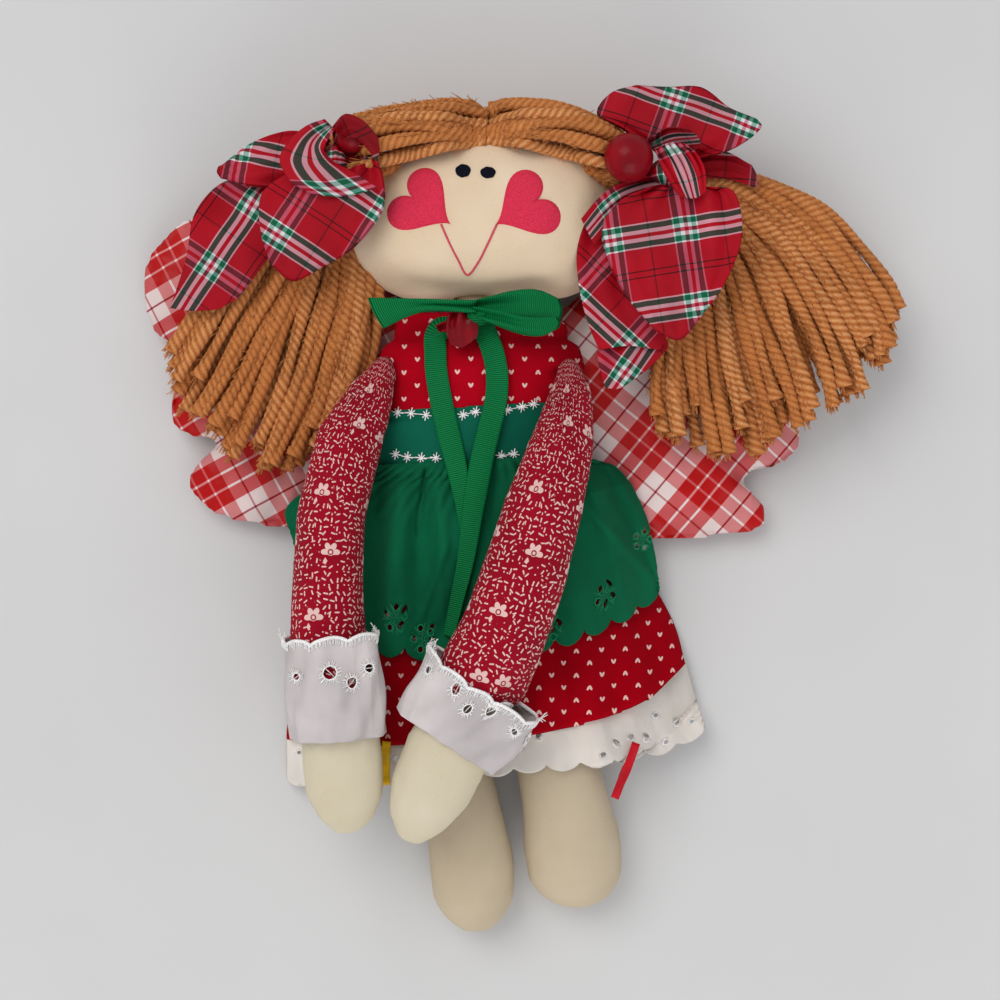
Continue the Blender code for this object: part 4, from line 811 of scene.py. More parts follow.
def stuffed(node, name, wear, voxel=0.0034, start=0.0014, cap=0.0016):
    """A stuffed piece of cloth: the CAD form drawn in by `start`, blown up, and fitted to the form's box."""
    bm = node_mesh(node)
    smooth_points(bm, 0.2)
    bm.normal_update()
    for v in bm.verts:
        v.co -= v.normal * start
    piece = new_piece(bm, name, wear, [node])
    remesh = piece.modifiers.new("voxels", "REMESH")
    remesh.mode, remesh.voxel_size, remesh.use_smooth_shade = "VOXEL", voxel, True
    settle(piece)
    swell(piece, cap)
    with edited(piece.data) as bm:
        smooth_points(bm, 0.5)
    rounded(piece, 1)
    points = points_of(piece.data)
    lowest, highest = [np.array(corner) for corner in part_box(node)]
    now_low, now_high = points.min(0), points.max(0)
    points = lowest + (points - now_low) * (highest - lowest) / (now_high - now_low)
    points[:, 2] = np.maximum(points[:, 2], STUFFED_LOW)
    set_points(piece.data, points)
    return piece


def lengthen(piece, cuff, amount, flare, drift):
    """Draws the end of a sleeve on, into its cuff, and fills it out there, drifting to the doll's left."""
    start, end = [np.array(DOLL + Vector(place)) for place in cuff]
    way = (end - start) / np.linalg.norm(end - start)
    points = points_of(piece.data)
    along = (points - start) @ way
    past = np.clip((along + 0.022) / 0.022, 0, 1)[:, None] ** 2
    off = points - start - along[:, None] * way
    aside = np.cross([0, 0, 1], way) * np.sign(way[1]) * -drift
    set_points(piece.data, points + off * flare * past + way * past * amount + aside * past)


def cloth_round(piece, line):
    """A print that goes round a limb: along its middle line, and round it from the underside."""
    points = points_of(piece.data)
    line = on_line(line, np.linspace(0, 1, 60))
    steps = np.concatenate([[0], np.cumsum(np.linalg.norm(np.diff(line, axis=0), axis=1))])
    nearest = np.argmin(((points[:, None, :] - line[None]) ** 2).sum(2), axis=1)
    tangent = np.gradient(line, axis=0)
    tangent /= np.linalg.norm(tangent, axis=1, keepdims=True)
    t = tangent[nearest]
    away = points - line[nearest]
    up = np.array([0, 0, 1.0]) - t * t[:, 2:3]
    up /= np.linalg.norm(up, axis=1, keepdims=True)
    angle = np.arctan2((away * np.cross(t, up)).sum(1), (away * up).sum(1))
    radius = float(np.linalg.norm(away, axis=1).mean()) * 1.05
    along = steps[nearest] + (away * t).sum(1)
    layer = piece.data.uv_layers.new(name="Cloth")
    for face in piece.data.polygons:
        turns = [angle[v] for v in face.vertices]
        wraps = max(turns) - min(turns) > math.pi
        for loop, v in zip(face.loop_indices, face.vertices):
            a = angle[v] + (TURN if wraps and angle[v] < 0 else 0)
            layer.data[loop].uv = (a * radius, along[v])


def pucker(wing):
    """Small gathers that run in from the seam of a wing."""
    points = points_of(wing.data)
    middle = (points[:, 2].max() + points[:, 2].min()) / 2
    height = (points[:, 2] - middle) / (points[:, 2].max() - middle)
    near_edge = np.clip(1.0 - np.abs(height), 0, 1)
    level = points * np.array([1, 1, 0])
    wave = ripples(level, 130, 0.0022, 4.0) + ripples(level, 55, 0.0024, 9.0)
    points[:, 2] += np.sign(height) * (wave - 0.0006) * (0.35 + 0.65 * near_edge) * (np.abs(height) > 0.06)
    points[:, 2] = np.maximum(points[:, 2], WING_LOW)
    set_points(wing.data, points)


def make_stuffed():
    muslin = ("torso_body", "muslin", "muslin")
    stuffed("head", "head_pillow", ("head_body", "muslin", "muslin"), cap=0.0017)
    stuffed("neck", "neck_roll", muslin, 0.0024, 0.0008, 0.0008)
    stuffed("torso", "torso_bag", muslin)
    for side in SIDES:
        arm, leg = f"arm_{side}_body", f"leg_{side}_body"
        stuffed(f"hand_{side}", f"stuffed_hand_{side}", (arm, "muslin", "hand_muslin"),
                0.0022, 0.0010, 0.0012)
        # Legs wear muslin painted darker, as shade
        stuffed(f"leg_{side}", f"stuffed_leg_{side}", (leg, "muslin", "leg_muslin"), 0.0030)
        sleeve = stuffed(f"sleeve_{side}", f"stuffed_sleeve_{side}", (arm, "calico", "calico"), 0.0028)
        place, run, shares, ending = SLEEVES[side]
        lengthen(sleeve, CUFFS[side][:2], *ending)
        cloth_round(sleeve, [DOLL + Vector(place) + Vector([a * b for a, b in zip(s, run)]) for s in shares])
        wear = ("torso_body", "check_satin", "check_satin")
        wing = stuffed(f"wing_{side}", f"stuffed_wing_{side}", wear, 0.0026, 0.0012, 0.0016)
        pucker(wing)
        spot, angle = WINGS[side]
        set_cloth_map(wing.data, turned(points_of(wing.data), seen(*spot, 0.02), angle))


# Clothes

# Each garment round the torso: its slot and finish, its top and end from the shoulder line, the rows of its
# net, and how many more rows go up over the shoulders
GARMENTS = {
    "bodice": ("heart_print", "bodice_hearts", 0.0180, -0.0120, 34, 11),
    "waistband": ("green_cloth", "waist_green", -0.0116, -0.0366, 24, 0),
}
GARMENT_MIDDLE = Vector((0, 0, 0.0290))
GARMENT_SLOPE = 0.052            # it rises by this towards the right
SHOULDER_WIDENING = (0.36, 0.46)
WAISTBAND_EASE = 0.04            # the waistband stands out by this share of its width


def make_bodice():
    for node, (slot, finish, top, end, rows, yoke) in GARMENTS.items():
        middle = DOLL + GARMENT_MIDDLE
        bm, points, flat = wrapped(node, *[middle + Vector((0, y, 0)) for y in (top, end)], 96, rows, yoke)
        share = flat[:, 1] / (top - end)
        if yoke:
            past = np.clip(-share * rows / yoke, 0, 1)
            widening = np.where(points[:, 0] < DOLL.x, *SHOULDER_WIDENING)
            wider = np.clip(1 - share / 0.6, 0, 1) ** 1.3 * widening
            points[:, 0] = DOLL.x + (points[:, 0] - DOLL.x) * (1 + wider) * (1 - 0.22 * past ** 4)
            points[:, 2] = middle.z + (points[:, 2] - middle.z) * (1 - 0.40 * past ** 2)
        points[:, 1] += GARMENT_SLOPE * (points[:, 0] - DOLL.x) * (share if yoke else 1.0)
        if not yoke:
            points += WAISTBAND_EASE * (points - np.array(middle)) * np.array([1, 0, 1])
        points[:, 2] += ripples(points, 70, 0.0010, 2.0)
        front = points[:, 2] > middle.z
        across = (points[:, 0] - DOLL.x) * np.where(front, 1, -1) + np.where(front, 0, 0.2)
        flat = np.column_stack([across, points[:, 1]])
        wear = ("torso_body", slot, finish)
        piece = new_piece(bm, f"{node}_cloth", wear, [node], points, flat, True)
        as_sheet(piece, length=top - end, depth=0.0007)


# The stars' places in the picture, in rows that a running thread joins
STAR_ROWS = (
    ((397, 412), (411, 413), (426, 415)), ((463, 415), (476, 412)), ((507, 410), (522, 407), (534, 404)),
    ((395, 454), (407, 457), (421, 458), (436, 458)), ((501, 456), (514, 454)),
)
LONG_ARM, SHORT_ARM = 5.8, 4.6       # of a star, in pixels of the picture


def make_stars():
    """Embroidered stars along the waistband."""
    band = top_of("waistband_cloth", "bodice_cloth")
    lines, sizes = [], []
    for row in STAR_ROWS:
        row = np.array(row, float)
        for k, star in enumerate(row):
            spans = [(star, row[k + 1], 0.00018)] if k + 1 < len(row) else []
            for turn in (10, 55, 100, 145):
                reach = LONG_ARM if turn % 90 == 10 else SHORT_ARM
                arm = np.array(round_about(0, 0, math.radians(turn), reach))
                spans.append((star - arm, star + arm, 0.00024))
            for a, b, size in spans:
                line = drop(band, [seen(*(a + (b - a) * t), 0.047) for t in (0, 0.33, 0.66, 1)], 0.00042)
                line[1:3, 2] += size * 0.4
                lines.append(line)
                sizes.append(size)
    threads(lines, sizes, "waistband_stars", ("torso_body", "lace", "white_thread"), 4, 6)


# Each skirt: its width and height, its place, and its edges as shares of those, as part.py has them. The
# waist and the hem are given whole, and the sides by what lies between them
SKIRTS = {
    "flounce_front": ((0.1780, 0.0760), (0.0060, -0.1360),
                      ((-0.449, 0.395), (-0.20, 0.474), (0.135, 0.50), (0.382, 0.50)),
                      ((-0.50, -0.50), (-0.287, -0.447), (-0.034, -0.395), (0.219, -0.342), (0.395, -0.30),
                       (0.515, -0.19)),
                      ((-0.494, -0.053),), ((0.455, 0.263), (0.490, 0.02))),
    "dress_front": ((0.1705, 0.1150), (0.0032, -0.0955),
                    ((-0.27, 0.465), (-0.11, 0.474), (0.07, 0.487), (0.228, 0.50)),
                    ((-0.50, -0.50), (-0.253, -0.49), (-0.02, -0.474), (0.216, -0.422), (0.392, -0.343),
                     (0.50, -0.222)),
                    ((-0.371, 0.343), (-0.44, 0.09), (-0.482, -0.213)),
                    ((0.31, 0.396), (0.392, 0.152), (0.474, -0.074))),
    "apron": ((0.1560, 0.0818), (0.0, -0.0761),
              ((-0.28, 0.435), (-0.14, 0.447), (0.00, 0.46), (0.14, 0.468), (0.288, 0.476)),
              ((-0.50, -0.304), (-0.31, -0.45), (-0.06, -0.50), (0.205, -0.44), (0.385, -0.317),
               (0.50, -0.194)),
              ((-0.42, 0.40), (-0.525, 0.27), (-0.505, 0.10), (-0.487, -0.05)),
              ((0.362, 0.50), (0.43, 0.344), (0.474, 0.10))),
}
# Folds of the apron: where each runs in the picture, its half width there, and its height
APRON_FOLDS = (
    ((426, 474), (419, 529), 2.8, -0.0042), ((379, 470), (377, 640), 7.0, -0.0020),
    ((404, 474), (398, 575), 12.0, 0.0036), ((438, 474), (444, 565), 9.0, 0.0032),
    ((446, 547), (421, 618), 4.0, 0.0016), ((466, 560), (440, 640), 7.0, -0.0022),
    ((578, 500), (664, 588), 6.0, 0.0030), ((604, 478), (655, 560), 8.0, -0.0022),
    ((585, 560), (600, 640), 10.0, -0.0010),
)
# Where eyelets show in the picture
APRON_FLOWERS = ((604, 596), (549, 627), (396, 619), (424, 637), (646, 541), (320, 600), (490, 640))
PETTICOAT_EYELETS = ((628, 732), (645, 735), (676, 723), (691, 721), (664, 740), (655, 712), (600, 748),
                     (615, 738))
PETALS, FLOWER_RING, PETAL_HOLE, PETTICOAT_HOLE = 5, 0.0037, 0.0012, 0.0013
LAP_HEIGHT, HEM_HEIGHT = 0.035, 0.012        # of the apron, and of the petticoat's hem
SKIRT_LOW = 0.0012                           # clear of the table


def skirt_edges(node):
    """A skirt's waist, hem and two sides."""
    (width, height), place, *edges = SKIRTS[node]
    placed = [[DOLL + Vector((place[0] + s[0] * width, place[1] + s[1] * height, 0)) for s in edge]
              for edge in edges]
    return edges_of(*placed)


def on_skirt(node, shares):
    """Where these shares of a skirt's flat cloth lie."""
    waist, hem, left, right = skirt_edges(node)
    return patch(shares, left, right, waist, hem)


def cut_eyelets(bm, flat, holes):
    """Cuts round holes (x, y, radius) in a net by its flat places, and gives the places left."""
    bm.verts.ensure_lookup_table()
    gone = set()
    for x, y, radius in holes:
        away = np.hypot(flat[:, 0] - x, flat[:, 1] - y)
        inside = np.nonzero(away < radius * 0.95)[0]
        if not len(inside):
            inside = [int(np.argmin(away))]
        faces = {f for i in inside for f in bm.verts[int(i)].link_faces}
        for v in {v for f in faces for v in f.verts}:
            if any(f not in faces for f in v.link_faces):
                off = flat[v.index] - (x, y)
                flat[v.index] = np.array((x, y)) + off / max(np.hypot(*off), 1e-9) * radius
        gone |= faces
    kept = sorted({v.index for f in bm.faces if f not in gone for v in f.verts})
    bmesh.ops.delete(bm, geom=list(gone), context="FACES")
    return flat[kept]


def scalloped(across, along, count, depth, power):
    """Draws the far edge of a net in between its scallops, by this share of its length."""
    return along * (1 - depth * (1 - np.abs(np.sin(across * math.pi * count)) ** power))


def folds_at(points, folds):
    """The height that these folds add at these points."""
    columns, rows = in_picture(points, LAP_HEIGHT)
    added = np.zeros(len(points))
    for (c1, r1), (c2, r2), wide, height in folds:
        way = np.array((c2 - c1, r2 - r1), float)
        length = np.hypot(*way)
        along = ((columns - c1) * way[0] + (rows - r1) * way[1]) / length ** 2
        off = (columns - c1) * way[1] / length - (rows - r1) * way[0] / length
        ends = np.clip(1 - np.abs(along - 0.5) * 2, -0.35, 1)
        added += height * np.exp(-(off / wide) ** 2) * np.clip((ends + 0.35) / 0.6, 0, 1)
    return added


def skirt(node, name, slot, finish, cells, scallops=0, depth=0.0, holes=(),
          ripple=0.0022, gather=0.0008, over=None):
    """A skirt front of flat cloth, cut with its scallops and eyelets and then laid over the CAD drape.

    Gives a function that says where a flat place of it has come to lie.
    """
    width, height = size = SKIRTS[node][0]
    bm, shares = grid(*cells)
    shares = cut_eyelets(bm, shares * np.array(size), holes) / np.array(size)
    if scallops:
        shares[:, 1] = scalloped(*shares.T, scallops, depth, 0.55)
    points = drop(node_surface(node), on_skirt(node, shares), -0.0006)
    lift = ripples(points * np.array([1, 0.55, 0]), 85, ripple, 5.0) * np.clip(shares[:, 1] * 3, 0, 1)
    u, v = shares.T
    fine = np.cos(u * 150 + 2 * np.sin(u * 17)) * (1 - v) ** 2.5
    broad = np.cos(u * 41 + 1.5 * np.sin(u * 9)) * np.sin(np.pi * np.clip(v, 0, 1) * 0.8)
    lift += gather * (0.55 * fine + broad) * np.clip(v * 12, 0, 1)
    if node == "apron":
        lift += folds_at(points, APRON_FOLDS) * np.clip(v * 14, 0, 1)
        points[:, 1] += 0.0045 * np.clip(1 - v / 0.12, 0, 1)
    if node == "flounce_front":
        lift = np.maximum(lift, 0.0)
    points[:, 2] = np.maximum(points[:, 2] + lift, SKIRT_LOW)
    if over:
        points[:, 2] = np.maximum(points[:, 2], drop(top_of(over), points, 0.0009)[:, 2])
    piece = new_piece(bm, name, ("torso_body", slot, finish), [node], points, points[:, :2])
    as_sheet(piece, width=width)
    made = top_of(name)
    return lambda x, y: drop(made, on_skirt(node, np.array([[x / width, y / height]])), 0.0001)[0]


def flat_places(node, spots, height):
    """Where on a skirt's flat cloth these columns and rows of the picture are."""
    net = grid(110, 70)[1]
    there = on_skirt(node, net)
    places = []
    for spot in spots:
        x, y, _ = seen(*spot, height)
        places.append(net[int(np.argmin(np.hypot(there[:, 0] - x, there[:, 1] - y)))] * SKIRTS[node][0])
    return places


def eyelet_rims(place, holes, name, wear, thick):
    """A thread round each eyelet."""
    turns = np.linspace(0, TURN, 9)
    lines = [[place(*round_about(x, y, a, radius * 1.08)) for a in turns] for x, y, radius in holes]
    threads(lines, [thick] * len(lines), name, wear, 10, 5)


def make_petticoat():
    holes = [(x, y, PETTICOAT_HOLE) for x, y in flat_places("flounce_front", PETTICOAT_EYELETS, HEM_HEIGHT)]
    holes += [(0.006 + 0.0085 * k, 0.060 + 0.004 * (k % 2), 0.0011) for k in range(13)]
    place = skirt("flounce_front", "petticoat_frill", "lace", "petticoat_cotton", (190, 82), 13, 0.05, holes)
    eyelet_rims(place, holes, "petticoat_eyelets", ("torso_body", "lace", "white_thread"), 0.00028)


def make_apron():
    spots = flat_places("apron", APRON_FLOWERS, LAP_HEIGHT)
    flowers = [(x, y, 0.4 + 0.9 * k) for k, (x, y) in enumerate(spots)]
    holes = [(*round_about(x, y, turn + k * TURN / PETALS, FLOWER_RING), PETAL_HOLE)
             for x, y, turn in flowers for k in range(PETALS)]
    place = skirt("apron", "eyelet_apron", "green_cloth", "apron_green", (230, 124), 13, 0.055, holes,
                  ripple=0.0012, gather=0.0016, over="print_skirt")
    wear = ("torso_body", "green_cloth", "apron_thread")
    eyelet_rims(place, holes, "apron_eyelets", wear, 0.00034)
    rays = []
    for x, y, turn in flowers:
        for k in range(3 * PETALS):
            near, far = (0.0016, 0.0052) if k % 3 else (0.0004, 0.0022)
            angle = turn + k * TURN / (3 * PETALS)
            rays.append([place(*round_about(x, y, angle, r)) for r in (near, (near + far) / 2, far)])
    threads(rays, [0.00018] * len(rays), "apron_flower_stitches", wear, 3, 4)


def make_back(node, name, slot, finish, drawn_in):
    """The back panel of a skirt, flat on the table, with a scalloped hem and drawn in from its CAD box."""
    low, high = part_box(node)
    bm, shares = grid(90, 50)
    u, v = shares.T
    x = low.x + drawn_in + u * (high.x - low.x - 2 * drawn_in)
    y = low.y + drawn_in + v * (high.y - low.y - 0.001 - drawn_in)
    points = np.column_stack([x, high.y - scalloped(u, high.y - y, 12, 0.07, 0.6), np.zeros(len(u))])
    points = drop(node_surface(node), points, -0.0003)
    piece = new_piece(bm, name, ("torso_body", slot, finish), [node], points, points[:, :2])
    as_sheet(piece, width=high.x - low.x)


def make_skirts():
    make_petticoat()
    skirt("dress_front", "print_skirt", "heart_print", "skirt_hearts", (150, 100))
    make_apron()
    make_back("dress_back", "print_skirt_back", "heart_print", "skirt_hearts", 0.001)
    make_back("flounce_back", "petticoat_back", "lace", "petticoat_cotton", 0.012)


# Where the cuffs' eyelets show in the picture, with their size
CUFF_EYELETS = {
    "left": ((295, 677, 1.4), (331, 673, 2.5), (352, 682, 2.2), (368, 668, 1.7)),
    "right": ((429, 670, 1.5), (457, 687, 2.5), (468, 708, 2.1), (491, 710, 2.3), (513, 730, 1.3),
              (527, 741, 1.3)),
}
CUFF_HEIGHT, CUFF_HOLE, HIDDEN_HOLE = 0.078, 0.00105, 0.0012
RIM_STITCHES, EDGE_STITCHES, LOOSE_ENDS = 30, 26, 26      # round an eyelet, per scallop, and per cuff


def cuff_holes(side, around, length, on_cuff):
    """The eyelets that show, found where they show, and some on the far side of the arm."""
    places = [(x, y, on_cuff(x, y)) for x in np.linspace(around * 0.25, around * 0.75, 60)
              for y in np.linspace(0.05, 0.95, 40) * length]
    holes = []
    for column, row, size in CUFF_EYELETS[side]:
        spot = seen(column, row, CUFF_HEIGHT)
        x, y, _ = min(places, key=lambda p: (p[2].x - spot.x) ** 2 + (p[2].y - spot.y) ** 2)
        holes.append((x, y, size * CUFF_HOLE))
    for k in range(4):
        x = (around * (0.80 + 0.115 * k)) % around
        holes += [(x, length * 0.30, HIDDEN_HOLE), (x + 0.0042, length * 0.38, HIDDEN_HOLE)]
    return holes


def cuff_stitches(around, count, holes, on_cuff, axis):
    """Stitches round the eyelets and across them, along the edge, and loose ends at the cuff's two sides."""
    rng = random.Random(3)
    rays = []

    def ray(x, y, angle, reaches, out):
        rays.append([on_cuff(*round_about(x, y, angle, r), out) for r in reaches])

    for x, y, radius in holes:
        for k in range(RIM_STITCHES):
            a = TURN * k / RIM_STITCHES + rng.uniform(-0.1, 0.1)
            far = radius * 1.2 + rng.uniform(0.0006, 0.0022)
            ray(x, y, a, (radius * 1.1, (radius + far) / 2, far), 0.0004)
        ray(x, y, 0.4 + x * 900, (-radius, 0, radius), -0.0002)
    for k in range(count * EDGE_STITCHES):
        x = around * k / (count * EDGE_STITCHES)
        deep = rng.uniform(0.0026, 0.0040)
        aside = rng.uniform(-0.0004, 0.0004)
        rays.append([on_cuff(x, 0.0, 0.0004), on_cuff(x + aside, deep / 2, 0.0007), on_cuff(x, deep, 0.0001)])
    for k in range(LOOSE_ENDS):
        x = around * (rng.choice((0.27, 0.73)) + rng.uniform(-0.02, 0.02))
        tip = on_cuff(x, 0.0, 0.0004) - axis * rng.uniform(0.001, 0.004)
        tip += Vector((rng.uniform(-1, 1), rng.uniform(-1, 1), rng.uniform(0, 1))) * 0.0022
        rays.append([on_cuff(x, 0.001, 0.0002), on_cuff(x, 0.0, 0.0006) - axis * 0.001, tip])
    return rays


def make_cuff(side):
    start, end, around, count = CUFFS[side]
    start, end = DOLL + Vector(start), DOLL + Vector(end)
    length = (end - start).length
    tree = node_surface(f"cuff_{side}")
    axis, out_from_arm = way_round(start, end)
    body = f"arm_{side}_body"
    thread_wear = (body, "lace", "white_thread")

    def on_cuff(x, y, out=0.0):
        """Where a place of the flat cloth lies, this far outside the cloth."""
        u, v = x / around, y / length
        notch = 1 - abs(math.sin(u * math.pi * count)) ** 0.7
        v = v + (1 - v) * (0.055 * notch + 0.02 * math.sin(u * 11))
        angle = (u - 0.5) * TURN
        way = out_from_arm(angle)
        centre = start.lerp(end, min(max(v, 0.03), 0.97))
        hit = tree.ray_cast(centre + way * 0.12, -way)[0] or centre + way * 0.017
        wave = 0.0010 * math.sin(angle * 5 + v * 3) * (1 - v) + 0.0006 * math.sin(angle * 9 - v * 7)
        return start.lerp(end, v) + (hit - centre) + way * (out + wave - 0.0006 - 0.0022 * max(0.0, 0.6 - v))

    holes = cuff_holes(side, around, length, on_cuff)
    bm, shares = grid(170, 62)
    flat = cut_eyelets(bm, shares * np.array((around, length)), holes)
    points = [on_cuff(x, y) for x, y in flat]
    wear = (body, "lace", "white_eyelet")
    piece = new_piece(bm, f"eyelet_cuff_{side}", wear, [f"cuff_{side}"], points, flat, True)
    as_sheet(piece, length=length)
    eyelet_rims(lambda x, y: on_cuff(x, y, 0.0003), holes, f"cuff_eyelets_{side}", thread_wear, 0.00032)
    rays = cuff_stitches(around, count, holes, on_cuff, axis)
    threads(rays, [0.00017] * len(rays), f"cuff_stitches_{side}", thread_wear, 3, 4)
    edge = [on_cuff(x, 0.0004, 0.0002) for x in np.linspace(0, around, count * 10 + 1)]
    lines = [edge[k:k + 11] for k in range(0, len(edge) - 10, 10)]
    threads(lines, [0.0007] * len(lines), f"cuff_edge_{side}", thread_wear, 20, 6)


# Ribbons

# The pieces of the hair bows. For each: its edges in the picture (first and last whole, then what lies
# between their starts and between their ends), its height, puff and pleats, where its tartan is centred and
# how that is turned (or its width and length, where the stripes follow the ribbon), its finish, the CAD node
# that it replaces, and whether it turns back under itself
BOW_PIECES = {
    "left_bow_back_loop": (
        ((330, 140), (290, 132), (250, 145), (219, 167)), ((325, 175), (290, 186), (255, 186), (222, 178)),
        (), ((218, 172),),
        0.050, 0.0050, 3, (240, 150, -12), "tartan", "bow_left_upper_loop", True),
    "left_bow_tail": (
        ((318, 178), (262, 178), (222, 184), (196, 215), (186, 262), (170, 308)),
        ((330, 190), (290, 225), (266, 262), (240, 296), (219, 309)), (), ((195, 311),),
        0.0445, 0.0012, 2, (211, 267, 56), "tartan", "bow_left_tail", False),
    "left_bow_front_loop": (
        ((322, 160), (285, 176), (262, 196), (262, 235), (270, 262)),
        ((378, 158), (384, 188), (381, 212), (354, 246), (314, 271)), ((350, 170),), ((292, 280),),
        0.059, 0.0055, 3, (278, 236, -33), "tartan", "bow_left_front_loop", True),
    # The inside and the wall of the left bow's loop wear tartan painted darker as shade
    "left_bow_inside": (
        ((333, 128), (345, 115), (362, 121)), ((346, 160), (362, 166), (378, 162)), ((334, 145),),
        ((378, 140),),
        0.0595, -0.0020, 2, (397, 146, 40), "tartan_inside", None, False),
    "left_bow_wall": (
        ((334, 129), (345, 115), (362, 120), (378, 137)), ((345, 139), (356, 139), (366, 148), (377, 163)),
        ((339, 136),), ((380, 150),),
        0.0680, 0.0012, 1, (401, 158, 24), "tartan_inside", None, False),
    "left_bow_fold": (
        ((325, 120), (306, 128), (288, 144), (280, 160), (290, 180), (312, 194)),
        ((335, 131), (327, 142), (324, 152), (332, 162), (352, 172), (378, 188)), ((330, 124),),
        ((345, 196),),
        0.0655, 0.0022, 1, (0.0150, 0.034), "tartan", None, False),
    "right_bow_upper_loop": (
        ((655, 150), (620, 128), (597, 113), (611, 93), (636, 85)),
        ((690, 160), (725, 152), (748, 140), (762, 126), (757, 119)),
        ((672, 158),), ((672, 86), (702, 87), (730, 108)),
        0.052, 0.0062, 4, (674, 100, -20), "tartan", "bow_right_upper_loop", True),
    "right_bow_back_tail": (
        ((690, 152), (725, 152), (752, 165)), ((690, 180), (725, 178), (757, 188)), ((688, 166),),
        ((757, 176),),
        0.0452, 0.0010, 2, (690, 140, -5), "tartan", "bow_right_back_tail", False),
    "right_bow_lower_tail": (
        ((625, 190), (590, 215), (577, 250), (580, 294), (590, 330), (599, 350)),
        ((668, 200), (650, 262), (656, 312), (668, 330), (660, 350)), ((648, 190),), ((628, 346),),
        0.0480, 0.0012, 2, (629, 346, -42), "tartan", "bow_right_lower_tail", False),
    "right_bow_tail_end": (
        ((597, 340), (598, 362), (605, 388)), ((664, 334), (668, 346), (655, 363)), ((630, 338),),
        ((620, 388),),
        0.0455, 0.0006, 2, (625, 373, 55), "tartan", None, False),
    "right_bow_shoulder": (
        ((672, 172), (640, 178), (616, 186), (598, 199), (581, 219)),
        ((690, 200), (662, 198), (632, 208), (612, 224), (594, 245)), (), (),
        0.0560, 0.0022, 2, (0.0170, 0.045), "tartan", None, False),
    "right_bow_front_loop": (
        ((650, 188), (622, 200), (602, 226), (610, 262), (630, 300), (655, 330)),
        ((705, 188), (733, 193), (741, 238), (724, 284), (699, 318)), ((678, 190),), ((679, 339),),
        0.058, 0.0055, 4, (685, 230, 9), "tartan", "bow_right_front_loop", True),
    "right_bow_gather": (
        ((654, 150), (660, 164), (668, 180), (680, 196)), ((684, 144), (696, 154), (704, 170), (706, 192)),
        ((668, 144),), ((694, 198),),
        0.0660, 0.0024, 5, (0.0200, 0.022), "tartan", None, False),
    # The mouth of the right bow's loop wears tartan painted darker as shade
    "right_bow_mouth": (
        ((652, 138), (668, 128), (690, 130)), ((660, 154), (682, 150), (702, 148)), ((652, 147),),
        ((698, 138),),
        0.0622, -0.0016, 3, (0.018, 0.02), "tartan_inside", None, False),
}
# The pieces of the neck bow and the charm under it
NECK_PIECES = {
    "neck_bow_left_loop": (
        ((476, 301), (445, 301), (408, 299), (369, 298)), ((476, 313), (450, 311), (424, 311), (403, 318),
                                                           (384, 328)),
        (), ((375, 313),), 0.0535, 0.0022, 1, (0.012, 0.04), "grosgrain", "neck_loop_left", True),
    "neck_bow_right_loop": (
        ((473, 307), (498, 311), (525, 317), (558, 317)), ((473, 316), (495, 325), (520, 334), (542, 336),
                                                           (559, 328)),
        (), ((561, 322),), 0.0548, 0.0022, 1, (0.012, 0.04), "grosgrain", "neck_loop_right", True),
    "neck_bow_right_inside": (
        ((473, 301), (492, 296), (512, 291), (538, 290), (560, 299)),
        ((473, 312), (498, 318), (525, 323), (560, 322)),
        (), ((563, 310),), 0.0522, 0.0016, 1, (0.012, 0.04), "grosgrain", None, True),
    "satin_charm": (
        ((448, 314), (446, 330), (450, 344)), ((473, 313), (478, 326), (477, 337)), ((460, 311),),
        ((462, 347),),
        0.0512, 0.0012, 2, (0.012, 0.04), "red_satin", "neck_charm", False),
    "satin_charm_end": (
        ((436, 326), (443, 322), (452, 320)), ((440, 332), (446, 332), (453, 334)), ((437, 329),),
        ((453, 327),),
        0.0518, 0.0006, 1, (0.012, 0.04), "red_satin", None, False),
}
SLOTS = {"tartan": "tartan", "tartan_inside": "tartan", "grosgrain": "grosgrain", "red_satin": "satin"}
# Each tail of the neck bow: its CAD node, its name, its middle line in the picture, its lift, and the
# share of its width that shows at its end
NECK_TAILS = (
    ("neck_tail_left", "neck_bow_left_tail",
     ((450, 326), (440, 327), (435, 335), (435, 350), (436, 370), (441, 400), (449, 435), (457, 468),
      (464, 505),
      (469, 545)), 0.0008, 0.6),
    ("neck_tail_right", "neck_bow_right_tail",
     ((480, 312), (485, 330), (493, 352), (497, 375), (496, 400), (489, 430), (482, 460), (474, 505),
      (466, 560),
      (456, 605), (449, 637)), 0.0018, 0.5),
)
GROSGRAIN_WIDTH, END_WIDTH = 0.0094, 0.0036
NECK_BAND = ((0, 0.0275, 0.029), (0, 0.0212, 0.029))
# Each ribbon end under the skirt: its name, finish and slot, its start and size, and its line as shares
# of that size
RIBBON_ENDS = {
    "ribbon_end_yellow": ("yellow_ribbon_end", "yellow_satin", "yellow_ribbon", (-0.0375, -0.1500),
                          (0.0010, 0.0185),
                          ((0.00, 0.00), (-0.70, -0.32), (-1.00, -0.65), (-0.50, -1.00))),
    "ribbon_end_red": ("red_ribbon_end", "ribbon_red", "satin", (0.0660, -0.1520), (0.0090, 0.0225),
                       ((0.00, 0.00), (-0.33, -0.36), (-0.67, -0.67), (-1.00, -1.00))),
}


def to_world(line, height):
    return [seen(*spot, height) for spot in line]


